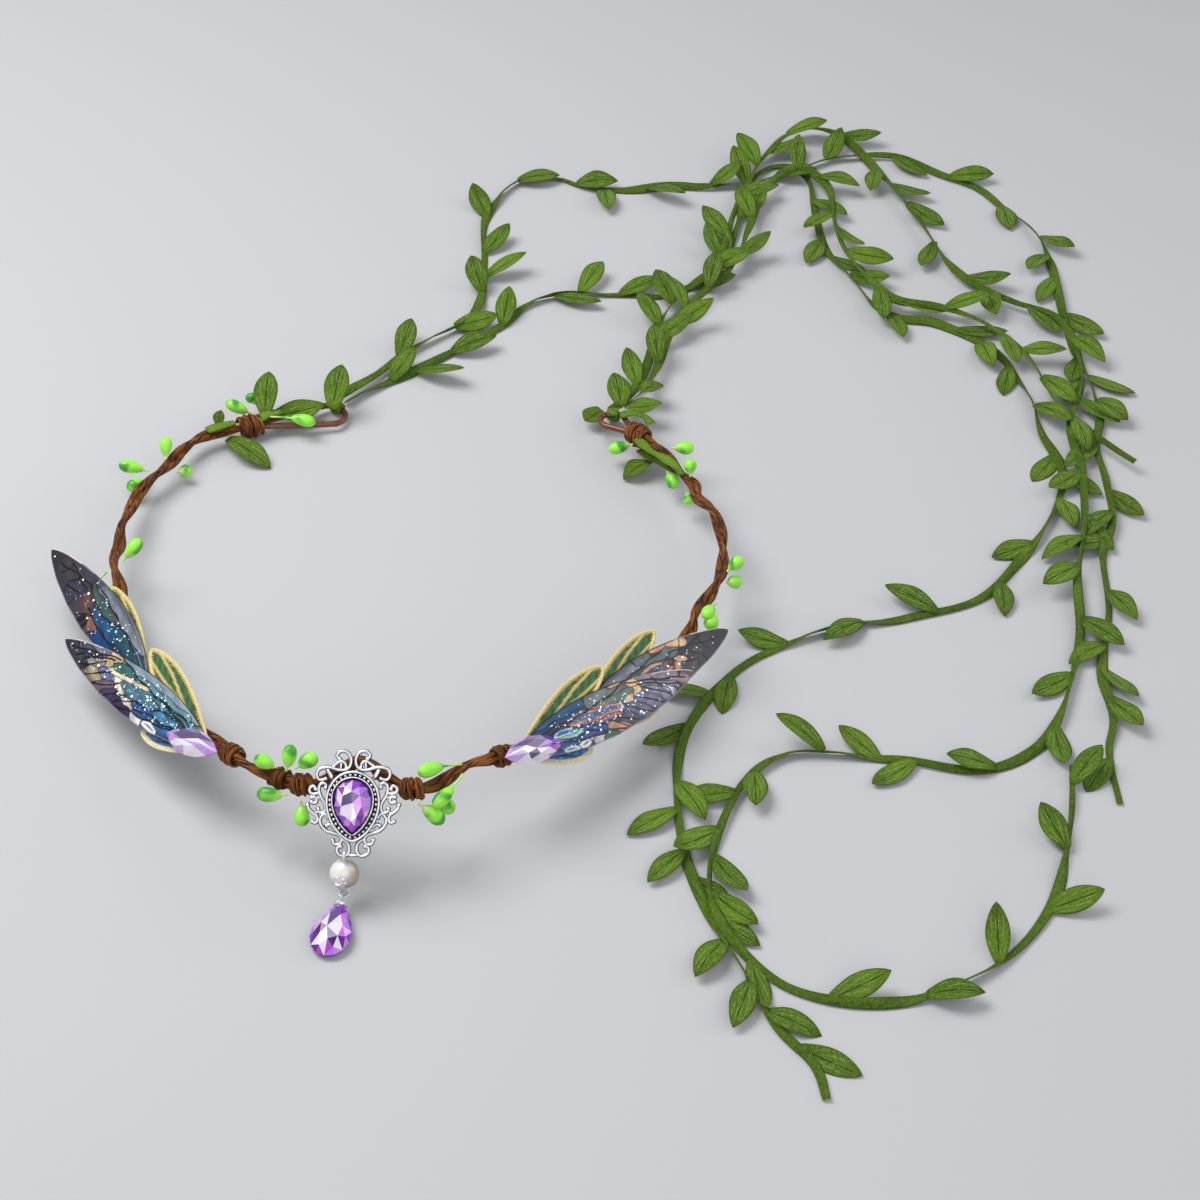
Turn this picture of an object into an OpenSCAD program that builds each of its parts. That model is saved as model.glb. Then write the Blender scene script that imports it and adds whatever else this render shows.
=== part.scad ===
/* [Band] */
// Diameter of one paper-wrapped wire of the twisted band
wire_d = 2.2; // [1.8:0.1:2.6]
// Length of one full turn of the two twisted wires
twist_pitch = 36; // [28:1:48]
// Wire of the two end loops
loop_wire_d = 2; // [1.6:0.1:2.2]

/* [Twine] */
// Clear space between the band and a winding around it
twine_gap = 0.25; // [0.15:0.05:0.4]
// Thickness of the wound twine
twine_d = 0.9; // [0.7:0.1:1.1]
// Thickness of the thicker twine wound at the two end loops
end_twine_d = 1.3; // [1.1:0.1:1.5]

/* [Plate] */
// Thickness of the pierced scrolls
scroll_t = 1.1; // [0.9:0.1:1.3]
// Width of one scroll stroke
scroll_w = 0.95; // [0.8:0.05:1.1]
// Outer width of the bezel
bezel_w = 14.4; // [14.2:0.1:14.8]
// Outer height of the bezel
bezel_h = 18.7; // [18.5:0.1:18.9]
// Height of the two bezel rims
rim_h = 2.2; // [1.8:0.1:2.6]
// Beads in the groove between the rims
bead_count = 34; // [28:1:38]

/* [Stones] */
// Width of the centre stone
center_stone_w = 10; // [9.6:0.1:10]
// Height of the centre stone
center_stone_h = 14; // [13.6:0.1:14]
// Width of the hanging stone
drop_stone_w = 11; // [10:0.5:12]
// Length of the hanging stone
drop_stone_h = 17; // [16:0.5:17]
// Length of the pointed stones on the wings
side_stone_l = 19.5; // [18:0.5:20]
// Width of the pointed stones on the wings
side_stone_w = 8; // [7:0.5:8]
// Diameter of the pearl
pearl_d = 8; // [7.6:0.1:8]

/* [Wings] */
// Length of a front wing
wing_l = 69; // [60:1:70]
// Half width of a wing on its inner side
wing_in = 6.9; // [6.2:0.1:7.2]
// Half width of a wing on its outer side
wing_out = 7; // [6:0.1:7.4]
// Thickness of the clear resin
resin_t = 0.9; // [0.7:0.1:1]
// Thickness of the fabric backing
backing_t = 0.5; // [0.4:0.1:0.6]

/* [Leaves] */
// Width of the ribbon
ribbon_w = 4; // [3:0.5:4]
// Thickness of the ribbon
ribbon_t = 1.2; // [0.8:0.1:1.2]
// Length of a ribbon leaf
leaf_l = 17; // [14:0.5:18]
// Width of a ribbon leaf
leaf_w = 7.6; // [6:0.2:8]
// Thickness of a ribbon leaf
leaf_t = 0.5; // [0.4:0.1:0.6]
// Distance between two leaves along a ribbon
leaf_step = 25; // [22:1:30]
// Diameter of a bud
bud_d = 4.4; // [3.8:0.1:4.5]

/* [Hidden] */
$fn = 48;

// Everything is drawn round the middle of the ring, and this moves it to the middle of the whole crown
ring_at = [6.8, 12.7, 0];

// Route of the band from the left end loop, round the front, to the right end loop
band_route = [
    [-69.5, 69.5, 4], [-72, 68, 4], [-81, 61, 5], [-86, 51, 6], [-88, 41, 7], [-91, 34, 7], [-93, 24, 8],
    [-93, 14, 9], [-93, 5, 10], [-91, -5, 11], [-90, -14, 12], [-85, -25, 12], [-78, -42, 12.5],
    [-69, -57, 13], [-58, -71, 14.5], [-48, -83, 17], [-40, -90, 19], [-33, -96, 20], [-27, -100, 21],
    [-20, -102, 21], [-14, -105, 22.5], [-9, -103, 22.5], [-4, -101.5, 25.2], [2, -100, 30], [8, -100.5, 25.5],
    [12, -101, 23.5], [16.5, -102, 24], [22, -98.5, 23.5], [29, -90, 24], [34, -87, 24], [39, -82, 22.8],
    [48, -70, 19.8], [58, -55, 16], [68, -40, 15], [76, -26, 15.3], [81, -15, 16.8], [82, -6, 17.6],
    [85, 2, 17], [87, 12, 16], [87, 22, 15], [86, 31, 14], [84, 40, 13], [81, 49, 12], [76, 54, 11.5],
    [74, 61, 11], [69, 68, 10], [64.5, 74.5, 9.6], [60.5, 80, 9.4], [56.6, 83.4, 8.9], [53.5, 86.1, 8.4]];

// Stations of the windings, in points of the band's route: from, to, turns
left_front_turns = [19.75, 20.6, 6];
right_front_turns = [25.35, 26.35, 6];
left_wing_turns = [16.45, 17, 5];
right_wing_turns = [29.3, 29.95, 5];
bud_knot_turns = [18.7, 19.35, 4];

// End loops: where each leaves its winding, where it ends, and its outer width
left_loop_from = [-66, 71.5, 4];
left_loop_to = [-41, 86, 2.3];
left_loop_w = 12;
right_loop_from = [50.6, 88.6, 8];
right_loop_to = [40.4, 97.4, 6.5];
right_loop_w = 10;
end_turns = 6;
// Place of a ribbon tie on its loop, as an angle from the loop's far end
left_tie_turn = 40;
right_tie_turn = -44;

// Plate: its middle, its lean back from upright and its small turn to the left
plate_at = [2, -111.4, 23.7];
plate_lean = 45;
plate_roll = 8;
// Lowest stroke of the plate that the eye pin holds, how much steeper the pin hangs, then distances down it
hang_at = [-2.2, -12.93];
pin_steeper = 35;
pin_sway = 3;
eye_r = 1.2;
link_r = 1.1;
pin_d = 0.7;
pearl_down = eye_r + pin_d / 2 + 0.1 + pearl_d / 2;
lower_eye = pearl_down + pearl_d / 2 + 0.1 + pin_d / 2 + link_r;
link_gap = 1.2;
drop_slope = 6.5;
drop_turn = -5;
drop_back = 1.9;

// Wing pairs: where the front wing starts, its heading, and how far its tip sinks and its plane leans
left_pair = [[-41, -95, 21], 140, 7, -32];
right_pair = [[41, -85, 25], 51, 7, 32];
// Rear wings in the plane of their front wing: start along, start across, turn
left_rear = [37.6, -5.6, -11.5];
right_rear = [25.8, -1.5, -5];
rear_scale = 64.2 / 69;
rear_sink = 2.8;
backing_sink = 1.7;
// Lobes of each backing, green one then blue one: length, width, turn
front_lobes = [[43, 9, -16], [25, 7, 16]];
left_rear_lobes = [[37.5, 7.5, -10], [22, 7, 16]];
right_rear_lobes = [[43, 8.8, -14], [29, 8, 15]];
// Pointed stones on the front wings: along, across, turn
left_stone = [5.2, 1.4, 12];
right_stone = [5, 0.7, 8];
stone_foil = 0.1;

// Buds: root and tip of each
front_left = [[[-20.5, -102, 24.7], [-27, -100.5, 25.8]], [[-17.8, -103.5, 25.3], [-17.5, -99, 31]],
    [[-15.3, -104, 27.2], [-9.6, -102.4, 31.2]], [[-16.8, -107.2, 20.4], [-25, -107.3, 19.6]],
    [[-13, -107.4, 18.9], [-12, -112, 14]]];
front_right = [[[27.5, -92.5, 26.3], [17.2, -100.8, 28.8]], [[28.3, -95.4, 25.6], [22.4, -106, 22.6]],
    [[18.3, -105, 21.7], [25, -105, 16]], [[23, -102, 20], [27, -100, 17]]];
left_side = [[[-87, -15, 14], [-83, -9, 18]], [[-91, -19, 12], [-97, -34, 12]],
    [[-88.6, -20.5, 9.6], [-89.5, -27, 7]]];
left_back = [[[-93, 35.4, 8], [-102, 34, 10]], [[-93.2, 33, 6], [-98, 28.5, 5.5]],
    [[-88.8, 40.5, 9.4], [-90, 46, 14]], [[-85.2, 40.5, 5], [-82.2, 44, 4]]];
left_loop = [[[-70, 75, 5], [-78, 74, 9]], [[-70, 80, 5], [-72, 82, 8]], [[-64.9, 72, 6.8], [-48.8, 73.4, 6]]];
right_lower = [[[87, -3, 18], [85, -16, 24]], [[87.6, -5, 16.6], [85.8, -9.8, 13.8]]];
right_side = [[[88.7, 12.8, 17.8], [93, 16, 21]], [[89.3, 11, 15.2], [93, 15, 13]]];
right_back = [[[65, 77, 12], [72, 78, 12]], [[72.6, 62, 13.2], [72, 66, 17]],
    [[64.6, 70, 8], [68, 64.5, 6.2]], [[72, 60, 8.8], [74, 57.2, 6.4]]];
right_loop = [[[52.4, 82.2, 7.6], [45, 79.5, 6]]];

// Loose leaves on the two ties: stalk and tip of each
left_leaves = [[[-65.2, 74, 5.8], [-67, 87, 14]], [[-62.8, 75, 5.6], [-48, 84.4, 6.2]],
    [[-75, 63, 3], [-59, 54, 1]], [[-45, 82, 5.6], [-45, 96, 14]], [[-79, 68, 4], [-79, 71, 8]]];
right_leaves = [[[46, 102, 7], [42, 111, 14]], [[47, 102, 7], [59, 105, 9]], [[51, 113, 6.4], [58, 117, 7.2]],
    [[39.6, 101.6, 5.2], [35, 96, 4]], [[59, 80, 3.4], [51, 72, 1]], [[54, 84, 4.1], [68, 75, 4.1]]];

// Routes of the four ribbons; each crosses the others on a level of its own
route_a = [[-43, 92, 1.4], [-34, 105, 0.6], [-23, 116, 0.6], [-8, 137, 0.6], [0, 148, 0.6], [6, 162, 0.6],
    [19, 171, 0.6], [40, 176, 0.6], [51, 178, 0.6], [64, 191, 0.6], [70, 211, 0.6], [72, 232, 0.6],
    [72, 251, 0.6], [75, 263, 0.6], [80, 271, 0.6], [85, 273.4, 0.6], [90, 271, 0.6], [95, 263, 0.6],
    [98, 248, 0.6], [104, 222, 0.6], [113, 206, 0.6],
    [123, 190, 0.6], [133, 182, 0.6], [145, 182, 0.6], [159, 176, 0.6], [170, 165, 0.6], [179, 144, 0.6],
    [183, 127, 0.6], [190, 108, 0.6], [188, 86, 0.6], [178, 59, 0.6], [166, 37, 0.6], [144, 23, 0.6],
    [125, 15, 0.6], [104, -1, 0.6], [92, -18, 0.6], [84, -42, 0.6], [84, -64, 0.6], [89, -88, 0.6],
    [98, -109, 0.6], [118, -143, 0.6], [130, -156, 0.6], [134, -167, 0.6]];
route_b = [[-45, 94, 3.2], [-36, 109, 2], [-30, 122, 2], [-22, 134, 2], [-13, 146, 2], [-10, 161, 2],
    [-13, 185, 0.6], [-17, 208, 0.6], [-15, 226, 0.6], [-10, 238, 0.6], [-4, 243.5, 0.6], [5, 245, 0.6],
    [14, 242, 0.6],
    [31, 243, 0.6], [46, 248, 0.8], [62, 252, 2], [76, 258, 2], [91, 271, 2], [104, 282, 2], [125, 288, 2],
    [142, 281, 1.2], [157, 275, 0.6], [167, 263, 0.6], [178, 249, 0.6], [184, 233, 0.8], [187, 212, 2],
    [190, 191, 2], [193, 175, 2], [198, 160, 2], [202, 140, 2], [201, 121, 2], [204, 104, 2], [206, 84, 2],
    [203, 65, 2], [205, 40, 0.8], [203, 10, 0.6], [206, -10, 0.6], [205, -25, 0.6], [208, -45, 0.6]];
route_c = [[42, 104, 3.4], [48, 116, 3.4], [51, 133, 3.4], [52, 157, 3.4], [57, 175, 3.4], [66, 193, 3.4],
    [69, 212, 3.4], [70, 232, 3.4], [74, 260, 3.4], [79, 279, 3.4], [84, 291, 3.4], [92, 298, 3.4],
    [101, 297.5, 3.4], [109, 290, 3.4], [118, 276, 3.4], [128, 260, 3.4], [138, 240, 3.4], [148, 218, 3.4],
    [158, 206, 3.4], [172, 198, 3.4], [186, 193, 3.4], [193, 178, 3.4], [196, 155, 3.4], [192, 130, 3.4],
    [196, 105, 3.4], [197, 76, 3.4], [195, 50, 3.4], [196, 22, 2], [190, -14, 2], [181, -31, 0.8],
    [166, -40, 0.6], [146, -40, 0.6], [128, -41, 0.6], [112, -45, 1.4], [102, -60, 2], [97, -84, 2],
    [98, -104, 2], [107, -121, 2], [122, -132, 0.8], [141, -134, 0.6], [160, -126, 0.6], [178, -110, 0.6],
    [190, -86, 0.6], [194, -56, 2], [194, -33, 2]];
route_d = [[45, 104, 4.8], [52, 116, 4.8], [55, 134, 4.8], [57, 156, 4.8], [63, 173, 4.8], [71, 190, 4.8],
    [75, 208, 4.8], [77, 228, 4.8], [79, 246, 4.8], [82, 256, 4.8], [87, 263, 4.8], [92, 265.4, 4.8],
    [97, 263, 4.8], [102, 256, 4.8], [104.5, 246, 4.8], [107, 230, 4.8],
    [112, 214, 4.8], [121, 199, 4.8], [131, 188, 4.8], [146, 187, 4.8], [160, 182, 4.8], [172, 171, 4.8],
    [180, 158, 4.8], [186, 142, 4.8], [196, 128, 4.8], [206, 118, 4.8], [213, 112, 4.8]];
// Leaves left off a ribbon where another one is in the way, counted from its start
bare_a = [9];
bare_b = [];
bare_c = [];
bare_d = [5];

band_r = 0.88 * wire_d;
twine_r = end_twine_d / 2;
loop_r = loop_wire_d / 2;
loop_leg = loop_r + 0.08;
leaf_base = ribbon_w / 2 + 1.3;
leaf_turn = 52;

// Scrolls of the plate's left half: middle line of each stroke, from the middle of the plate
scrolls = [
    [[-7.3, 7.3], [-8.9, 7], [-9.7, 8.4], [-8.9, 9.9], [-6.4, 10.3], [-3.8, 9.6], [-1.9, 9.7], [-0.8, 10.9],
        [-0.7, 12.8], [-1.7, 14.3], [-3.4, 14.5], [-4.4, 13.4], [-3.7, 12.5]],
    [[-5.3, 10.5], [-4.3, 11.4], [-3.2, 11.9], [-2.2, 11.3], [-1.9, 10.1]],
    [[-7.3, 5], [-7.2, 5.8], [-8.1, 6.2], [-8.9, 5.6], [-9.1, 4.3], [-8.6, 2.6], [-7.6, 1], [-7.3, -0.6],
        [-7.9, -1.6], [-8.9, -1.5], [-9.3, -0.6]],
    [[-10, 4.6], [-10.4, 5.4], [-11.4, 5], [-11.5, 3.9], [-10.5, 3.3], [-9, 3.6]],
    [[-11, 2.4], [-10.1, 2.5], [-9.6, 1.6], [-10.2, 0.9], [-11, 1.2]],
    [[-12.1, 0.4], [-11.6, -0.8], [-10.7, -1.6], [-9.7, -2.3], [-9.4, -3.5], [-10, -4.3], [-10.8, -3.9]],
    [[-6.6, -2.9], [-7.2, -2], [-8.2, -2.3], [-8.8, -3.6], [-8.3, -5.1], [-6.9, -6.4], [-5.3, -6.9],
        [-3.7, -7.5], [-3, -8.6], [-3.6, -9.8], [-4.9, -9.8], [-5.3, -8.8]],
    [[-5.3, -5.3], [-6.2, -4.6], [-7, -5]],
    [[-2.7, -8.6], [-1.5, -9.4], [-1, -10.6], [-1.2, -12.2], [-2.4, -13], [-3.9, -12.3], [-4.2, -10.9],
        [-3.2, -10.4]]];
// Straight links between the scrolls and the bezel: from x, from y, to x, to y, width
links = [[-6.9, 9.8, -5.4, 7.2, 1.4], [-9.8, 2.3, -8.5, 2.4, 0.8], [-9.6, -2.9, -8.7, -3.2, 0.9],
    [-3.2, 11.6, -3.4, 9.8, 0.9], [-9.1, -1.2, -10.2, -1.8, 0.8]];

function unit(v) = v / norm(v);

// Point of a smooth curve through a route, at a station counted in its points
function spot(route, u) =
    let (i = max(0, min(floor(u), len(route) - 2)), t = u - i,
        p = route[max(i - 1, 0)], q = route[i], r = route[i + 1], s = route[min(i + 2, len(route) - 1)])
    0.5 * (2 * q + (r - p) * t + (2 * p - 5 * q + 4 * r - s) * t * t + (3 * q - p - 3 * r + s) * t * t * t);
function heading(route, u) =
    unit(spot(route, min(u + 0.05, len(route) - 1)) - spot(route, max(u - 0.05, 0)));
// Section points carried to a station: first number to the side, second number up
function ring(route, u, section) =
    let (at = spot(route, u), ahead = heading(route, u), side = unit(cross([0, 0, 1], ahead)),
        lift = cross(ahead, side))
    [for (q = section) at + side * q[0] + lift * q[1]];
function round_section(r, sides) = [for (i = [0:sides - 1]) r * [cos(360 * i / sides), sin(360 * i / sides)]];

// Closed solid through a list of rings with equal numbers of points
module swept(rings) {
    n = len(rings[0]);
    last = (len(rings) - 1) * n;
    polyhedron(points = [for (r = rings) each r], faces = concat(
        [[for (i = [0:n - 1]) i]], [[for (i = [n - 1:-1:0]) last + i]],
        [for (j = [0:len(rings) - 2]) for (i = [0:n - 1])
            let (a = j * n + i, b = j * n + (i + 1) % n) each [[a, a + n, b + n], [a, b + n, b]]]));
}

// Sleeve of wound twine that follows the band: outer rings rise and fall with each turn
module wound(turns) {
    sides = 12;
    rows = 2 * turns[2];
    bore = band_r + twine_gap;
    outer = [for (k = [0:rows]) let (u = turns[0] + (turns[1] - turns[0]) * k / rows)
        ring(band_route, u, round_section(bore + (k % 2 == 1 ? twine_d : twine_d * 0.6), sides))];
    inner = [for (k = [0:rows]) let (u = turns[0] + (turns[1] - turns[0]) * k / rows)
        ring(band_route, u, round_section(bore, sides))];
    n = sides;
    m = (rows + 1) * n;
    polyhedron(points = concat([for (r = outer) each r], [for (r = inner) each r]), faces = [
        for (i = [0:n - 1]) let (h = (i + 1) % n, e = rows * n) each concat(
            [[i, h, m + h], [i, m + h, m + i], [e + h, e + i, m + e + i], [e + h, m + e + i, m + e + h]],
            [for (j = [0:rows - 1]) let (a = j * n, b = a + n) each
                [[a + i, b + i, b + h], [a + i, b + h, a + h],
                [m + a + h, m + b + h, m + b + i], [m + a + h, m + b + i, m + a + i]]])]);
}

// Turns the X axis of what is drawn along a direction, with its Y axis kept level
module along(at, dir) {
    translate(at) rotate([0, -asin(dir[2] / norm(dir)), atan2(dir[1], dir[0])]) children();
}

// Wire eye: two legs side by side that open into a round end, swept along its own path
function eye_path(length, width) =
    let (r = width / 2 - loop_r, at = length - width / 2,
        open = asin(r / norm([at, loop_leg])) - atan2(loop_leg, at))
    concat([[-3.2, loop_leg, 0], [0, loop_leg, 0]],
        [for (i = [0:8]) let (a = (90 + open) * (1 - i / 4)) [at + r * cos(a), r * sin(a), 0]],
        [[0, -loop_leg, 0], [-3.2, -loop_leg, 0]]);
module wire_eye(length, width) {
    path = eye_path(length, width);
    swept([for (j = [0:2 * (len(path) - 1)]) ring(path, j / 2, round_section(loop_r, 8))]);
}

// Straight coil of twine round the X axis, ending at the origin
module twine_coil(turns) {
    bore = loop_leg + loop_r + twine_gap;
    rotate([0, -90, 0]) rotate_extrude() for (i = [0:turns - 1])
        translate([bore + twine_r, twine_r + i * end_twine_d * 0.97]) circle(twine_r);
}

// Ribbon wrapped round the wire of a loop, and its tails that slope to the surface
module wrap(length, width, turn, reach, fall) {
    r = width / 2 - loop_r;
    translate([length - width / 2, 0, 0]) rotate([0, 0, turn]) {
        translate([r - 0.2, 0, 0]) rotate([90, 0, 0]) rotate_extrude() translate([loop_r + 0.5, -1.8])
            square([0.7, 3.6]);
        if (reach > 0)
            translate([r + 1.6, 0, 0]) rotate([0, fall, 0]) translate([0, -2, -0.4]) cube([reach, 4, 0.8]);
    }
}

// Pear outline with its point down
function pear_peak(m) = max([for (t = [0:2:180]) sin(t) * pow(sin(t / 2), m)]);
function pear(w, h, m, n) = let (k = pear_peak(m))
    [for (i = [0:n - 1]) let (t = 360 * i / n)
        [-w / 2 * sin(t) * pow(sin(t / 2), m) / k, -h / 2 * cos(t)]];
// Pointed oval outline
function navette(l, w, n) = let (r = (l * l + w * w) / (4 * w))
    [for (i = [0:n - 1]) let (x = l / 2 * cos(360 * i / n), y = sqrt(r * r - x * x) - r + w / 2)
        [x, i < n / 2 ? y : -y]];
// Cut stone: an outline repeated at levels, each a scale and a height, with a flat table on top
module cut_stone(outline, levels) {
    swept([for (l = levels) [for (p = outline) [p[0] * l[0], p[1] * l[0], l[1]]]]);
}

// Stroke of even width along a smooth line, with a ball at each end
module scroll(line) {
    half = scroll_w / 2;
    ends = len(line) - 1;
    rail = function (hand) [for (j = [0:2 * ends])
        let (h = heading(line, j / 2)) spot(line, j / 2) + hand * half * [-h[1], h[0]]];
    low = rail(-1);
    polygon(concat(rail(1), [for (i = [2 * ends:-1:0]) low[i]]));
    for (i = [0, ends]) translate(line[i]) circle(half * 1.3, $fn = 16);
}

module link(l) {
    d = [l[2] - l[0], l[3] - l[1]];
    translate([l[0], l[1]]) rotate(atan2(d[1], d[0])) translate([-0.3, -l[4] / 2]) square([norm(d) + 0.6, l[4]]);
}

module plate_place() {
    translate(plate_at) rotate([plate_lean, 0, 0]) children();
}

// Outline of a resin wing along X: inner side is -Y, outer side +Y and lightly scalloped
function wing_edge(t) = pow(max(0, sin(180 * pow(t, 0.87))), 0.82);
function wing_outline(l) = concat(
    [for (i = [0:24]) let (t = i / 24) [l * t, -wing_in * wing_edge(t)]],
    [for (i = [23:-1:1]) let (t = i / 24)
        [l * t, wing_out * wing_edge(t) * (1 + 0.035 * cos(360 * 6 * t))]]);
// Outline of a rounded lobe along X
function lobe_edge(t) = pow(max(0, sin(180 * pow(t, 1.5))), 0.6);
function lobe_outline(l, w) = concat(
    [for (i = [0:16]) let (t = (1 - cos(180 * i / 16)) / 2) [l * t, -w / 2 * lobe_edge(t)]],
    [for (i = [15:-1:1]) let (t = (1 - cos(180 * i / 16)) / 2) [l * t, w / 2 * lobe_edge(t)]]);

// Frame of a wing pair, with -Y towards the middle of the crown on both sides
module pair_place(pair) {
    translate(pair[0]) rotate([pair[3], pair[2], pair[1]])
        mirror([0, pair[3] > 0 ? 1 : 0, 0]) children();
}

module rear_place(rear) {
    translate([rear[0], rear[1], -rear_sink]) rotate([0, 0, rear[2]]) children();
}

module resin_wing(l) {
    color([0.25, 0.4, 0.5, 0.8]) linear_extrude(resin_t) polygon(wing_outline(l));
}

module wing_backing(lobes) {
    color([0.3, 0.5, 0.2]) translate([0, 0, -backing_sink]) linear_extrude(backing_t) for (k = [0, 1])
        translate([1, k - 0.5]) rotate(lobes[k][2]) polygon(lobe_outline(lobes[k][0], lobes[k][1]));
}

module side_stone(at) {
    color([0.8, 0.7, 0.95]) translate([at[0], at[1], resin_t + stone_foil]) rotate([0, 0, at[2]])
        cut_stone(navette(side_stone_l, side_stone_w, 16), [[0.97, 0], [1, 0.5], [0.8, 2], [0.5, 3]]);
}

// Bud on a thin stalk, turned round the line from its root to its tip: a slim start and a round end
function bud_edge(s) = s > 0.62 ? sqrt(max(0, 1 - pow((s - 0.62) / 0.38, 2)))
    : 0.16 + 0.84 * pow(sin(90 * s / 0.62), 1.3);
module bud(root, tip) {
    l = norm(tip - root);
    body = min(8, l * 0.86);
    r = bud_d / 2;
    d = tip - root;
    color([0.5, 0.9, 0.2]) translate(root) rotate([0, acos(d[2] / l), atan2(d[1], d[0])])
        rotate_extrude() polygon(concat([[0, 0], [0.35, 0], [0.35, l - body]],
            [for (t = [0.12, 0.27, 0.42, 0.56, 0.7, 0.82, 0.91, 0.97, 1])
                [r * bud_edge(t), l - body + body * t]]));
}

module buds(list) {
    for (b = list) bud(b[0], b[1]);
}

// Pointed leaf between two arcs, along X from the origin
module leaf(l, w) {
    r = (l * l + w * w) / (4 * w);
    color([0.35, 0.5, 0.22]) translate([l / 2, 0, -leaf_t / 2]) linear_extrude(leaf_t) intersection() {
        translate([0, r - w / 2]) circle(r);
        translate([0, w / 2 - r]) circle(r);
    }
}

module leaf_from_to(root, tip) {
    along(root, tip - root) leaf(norm(tip - root), leaf_w);
}

// Stations of a route at every full step of its length
function lengths(route, fine = 4) = [for (j = [1:(len(route) - 1) * fine])
    norm(spot(route, j / fine) - spot(route, (j - 1) / fine))];
function run(parts, i, sum) = i >= len(parts) ? [] : concat([sum + parts[i]], run(parts, i + 1, sum + parts[i]));
function station(marks, s, i = 0) = marks[i] >= s || i >= len(marks) - 1
    ? let (before = i == 0 ? 0 : marks[i - 1]) (i + (s - before) / (marks[i] - before)) / 4
    : station(marks, s, i + 1);

module leaves(route, first, bare) {
    marks = run(lengths(route), 0, 0);
    count = floor((marks[len(marks) - 1] - first - 4) / leaf_step);
    for (k = [0:count]) if (len(search(k, bare)) == 0) {
        u = station(marks, first + k * leaf_step);
        ahead = heading(route, u);
        hand = k % 2 == 0 ? 1 : -1;
        out = unit(cross([0, 0, 1], ahead)) * hand;
        turn = atan2(ahead[1], ahead[0]) + hand * leaf_turn;
        translate(spot(route, u) + out * leaf_base) rotate([0, 0, turn]) leaf(leaf_l, leaf_w);
    }
}

module ribbon(route) {
    w = ribbon_w / 2;
    t = ribbon_t / 2;
    section = [[w, 0], [0.8 * w, 0.75 * t], [0.3 * w, t], [-0.3 * w, t],
        [-w, 0], [-0.8 * w, -0.75 * t], [-0.3 * w, -t], [0.3 * w, -t]];
    color([0.35, 0.5, 0.22]) swept([for (u = [0:len(route) - 1]) ring(route, u, section)]);
}

module band() {
    marks = 3;
    color([0.35, 0.2, 0.1]) swept([for (j = [0:(len(band_route) - 1) * marks])
        let (u = j / marks, twist = 360 * 9 * u / twist_pitch)
        ring(band_route, u, [for (i = [0:9]) let (a = 36 * i, r = wire_d * (0.68 + 0.2 * cos(2 * (a - twist))))
            r * [cos(a), sin(a)]])]);
}
module left_end_loop() {
    color([0.45, 0.22, 0.1]) along(left_loop_from, left_loop_to - left_loop_from)
        wire_eye(norm(left_loop_to - left_loop_from), left_loop_w);
}
module right_end_loop() {
    color([0.45, 0.22, 0.1]) along(right_loop_from, right_loop_to - right_loop_from)
        wire_eye(norm(right_loop_to - right_loop_from), right_loop_w);
}
module left_end_winding() {
    color([0.45, 0.22, 0.1]) along(left_loop_from, left_loop_to - left_loop_from) twine_coil(end_turns);
}
module right_end_winding() {
    color([0.45, 0.22, 0.1]) along(right_loop_from, right_loop_to - right_loop_from) twine_coil(end_turns);
}
module left_front_winding() { color([0.4, 0.2, 0.1]) wound(left_front_turns); }
module right_front_winding() { color([0.4, 0.2, 0.1]) wound(right_front_turns); }
module left_wing_winding() { color([0.4, 0.2, 0.1]) wound(left_wing_turns); }
module right_wing_winding() { color([0.4, 0.2, 0.1]) wound(right_wing_turns); }
module bud_knot() { color([0.35, 0.2, 0.1]) wound(bud_knot_turns); }

module filigree_plate() {
    bezel = pear(bezel_w, bezel_h, 0.3, 48);
    color([0.75, 0.75, 0.78]) plate_place() {
        rotate([0, 0, plate_roll]) {
            linear_extrude(scroll_t) {
                polygon(bezel);
                translate([-1.6, -13.2]) square([3.2, 0.9]);
                for (m = [0, 1]) mirror([m, 0]) {
                    for (s = scrolls) scroll(s);
                    for (l = links) link(l);
                }
            }
            linear_extrude(rim_h) difference() {
                polygon(bezel);
                polygon(pear(bezel_w - 1.2, bezel_h - 1.2, 0.3, 48));
            }
            linear_extrude(rim_h) difference() {
                polygon(pear(center_stone_w + 1.6, center_stone_h + 1.8, 0.55, 40));
                polygon(pear(center_stone_w + 0.3, center_stone_h + 0.4, 0.6, 40));
            }
            for (p = pear(bezel_w - 2.1, bezel_h - 2.1, 0.35, bead_count))
                translate([p[0], p[1], scroll_t - 0.2]) cylinder(d = 0.7, h = 0.8, $fn = 8);
        }
    }
}
module center_stone() {
    color([0.75, 0.4, 0.95]) plate_place() rotate([0, 0, plate_roll]) translate([0, 0, scroll_t + 0.1])
        cut_stone(pear(center_stone_w, center_stone_h, 0.6, 20), [[0.97, 0], [1, 0.7], [0.78, 2.2], [0.5, 3.2]]);
}
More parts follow.
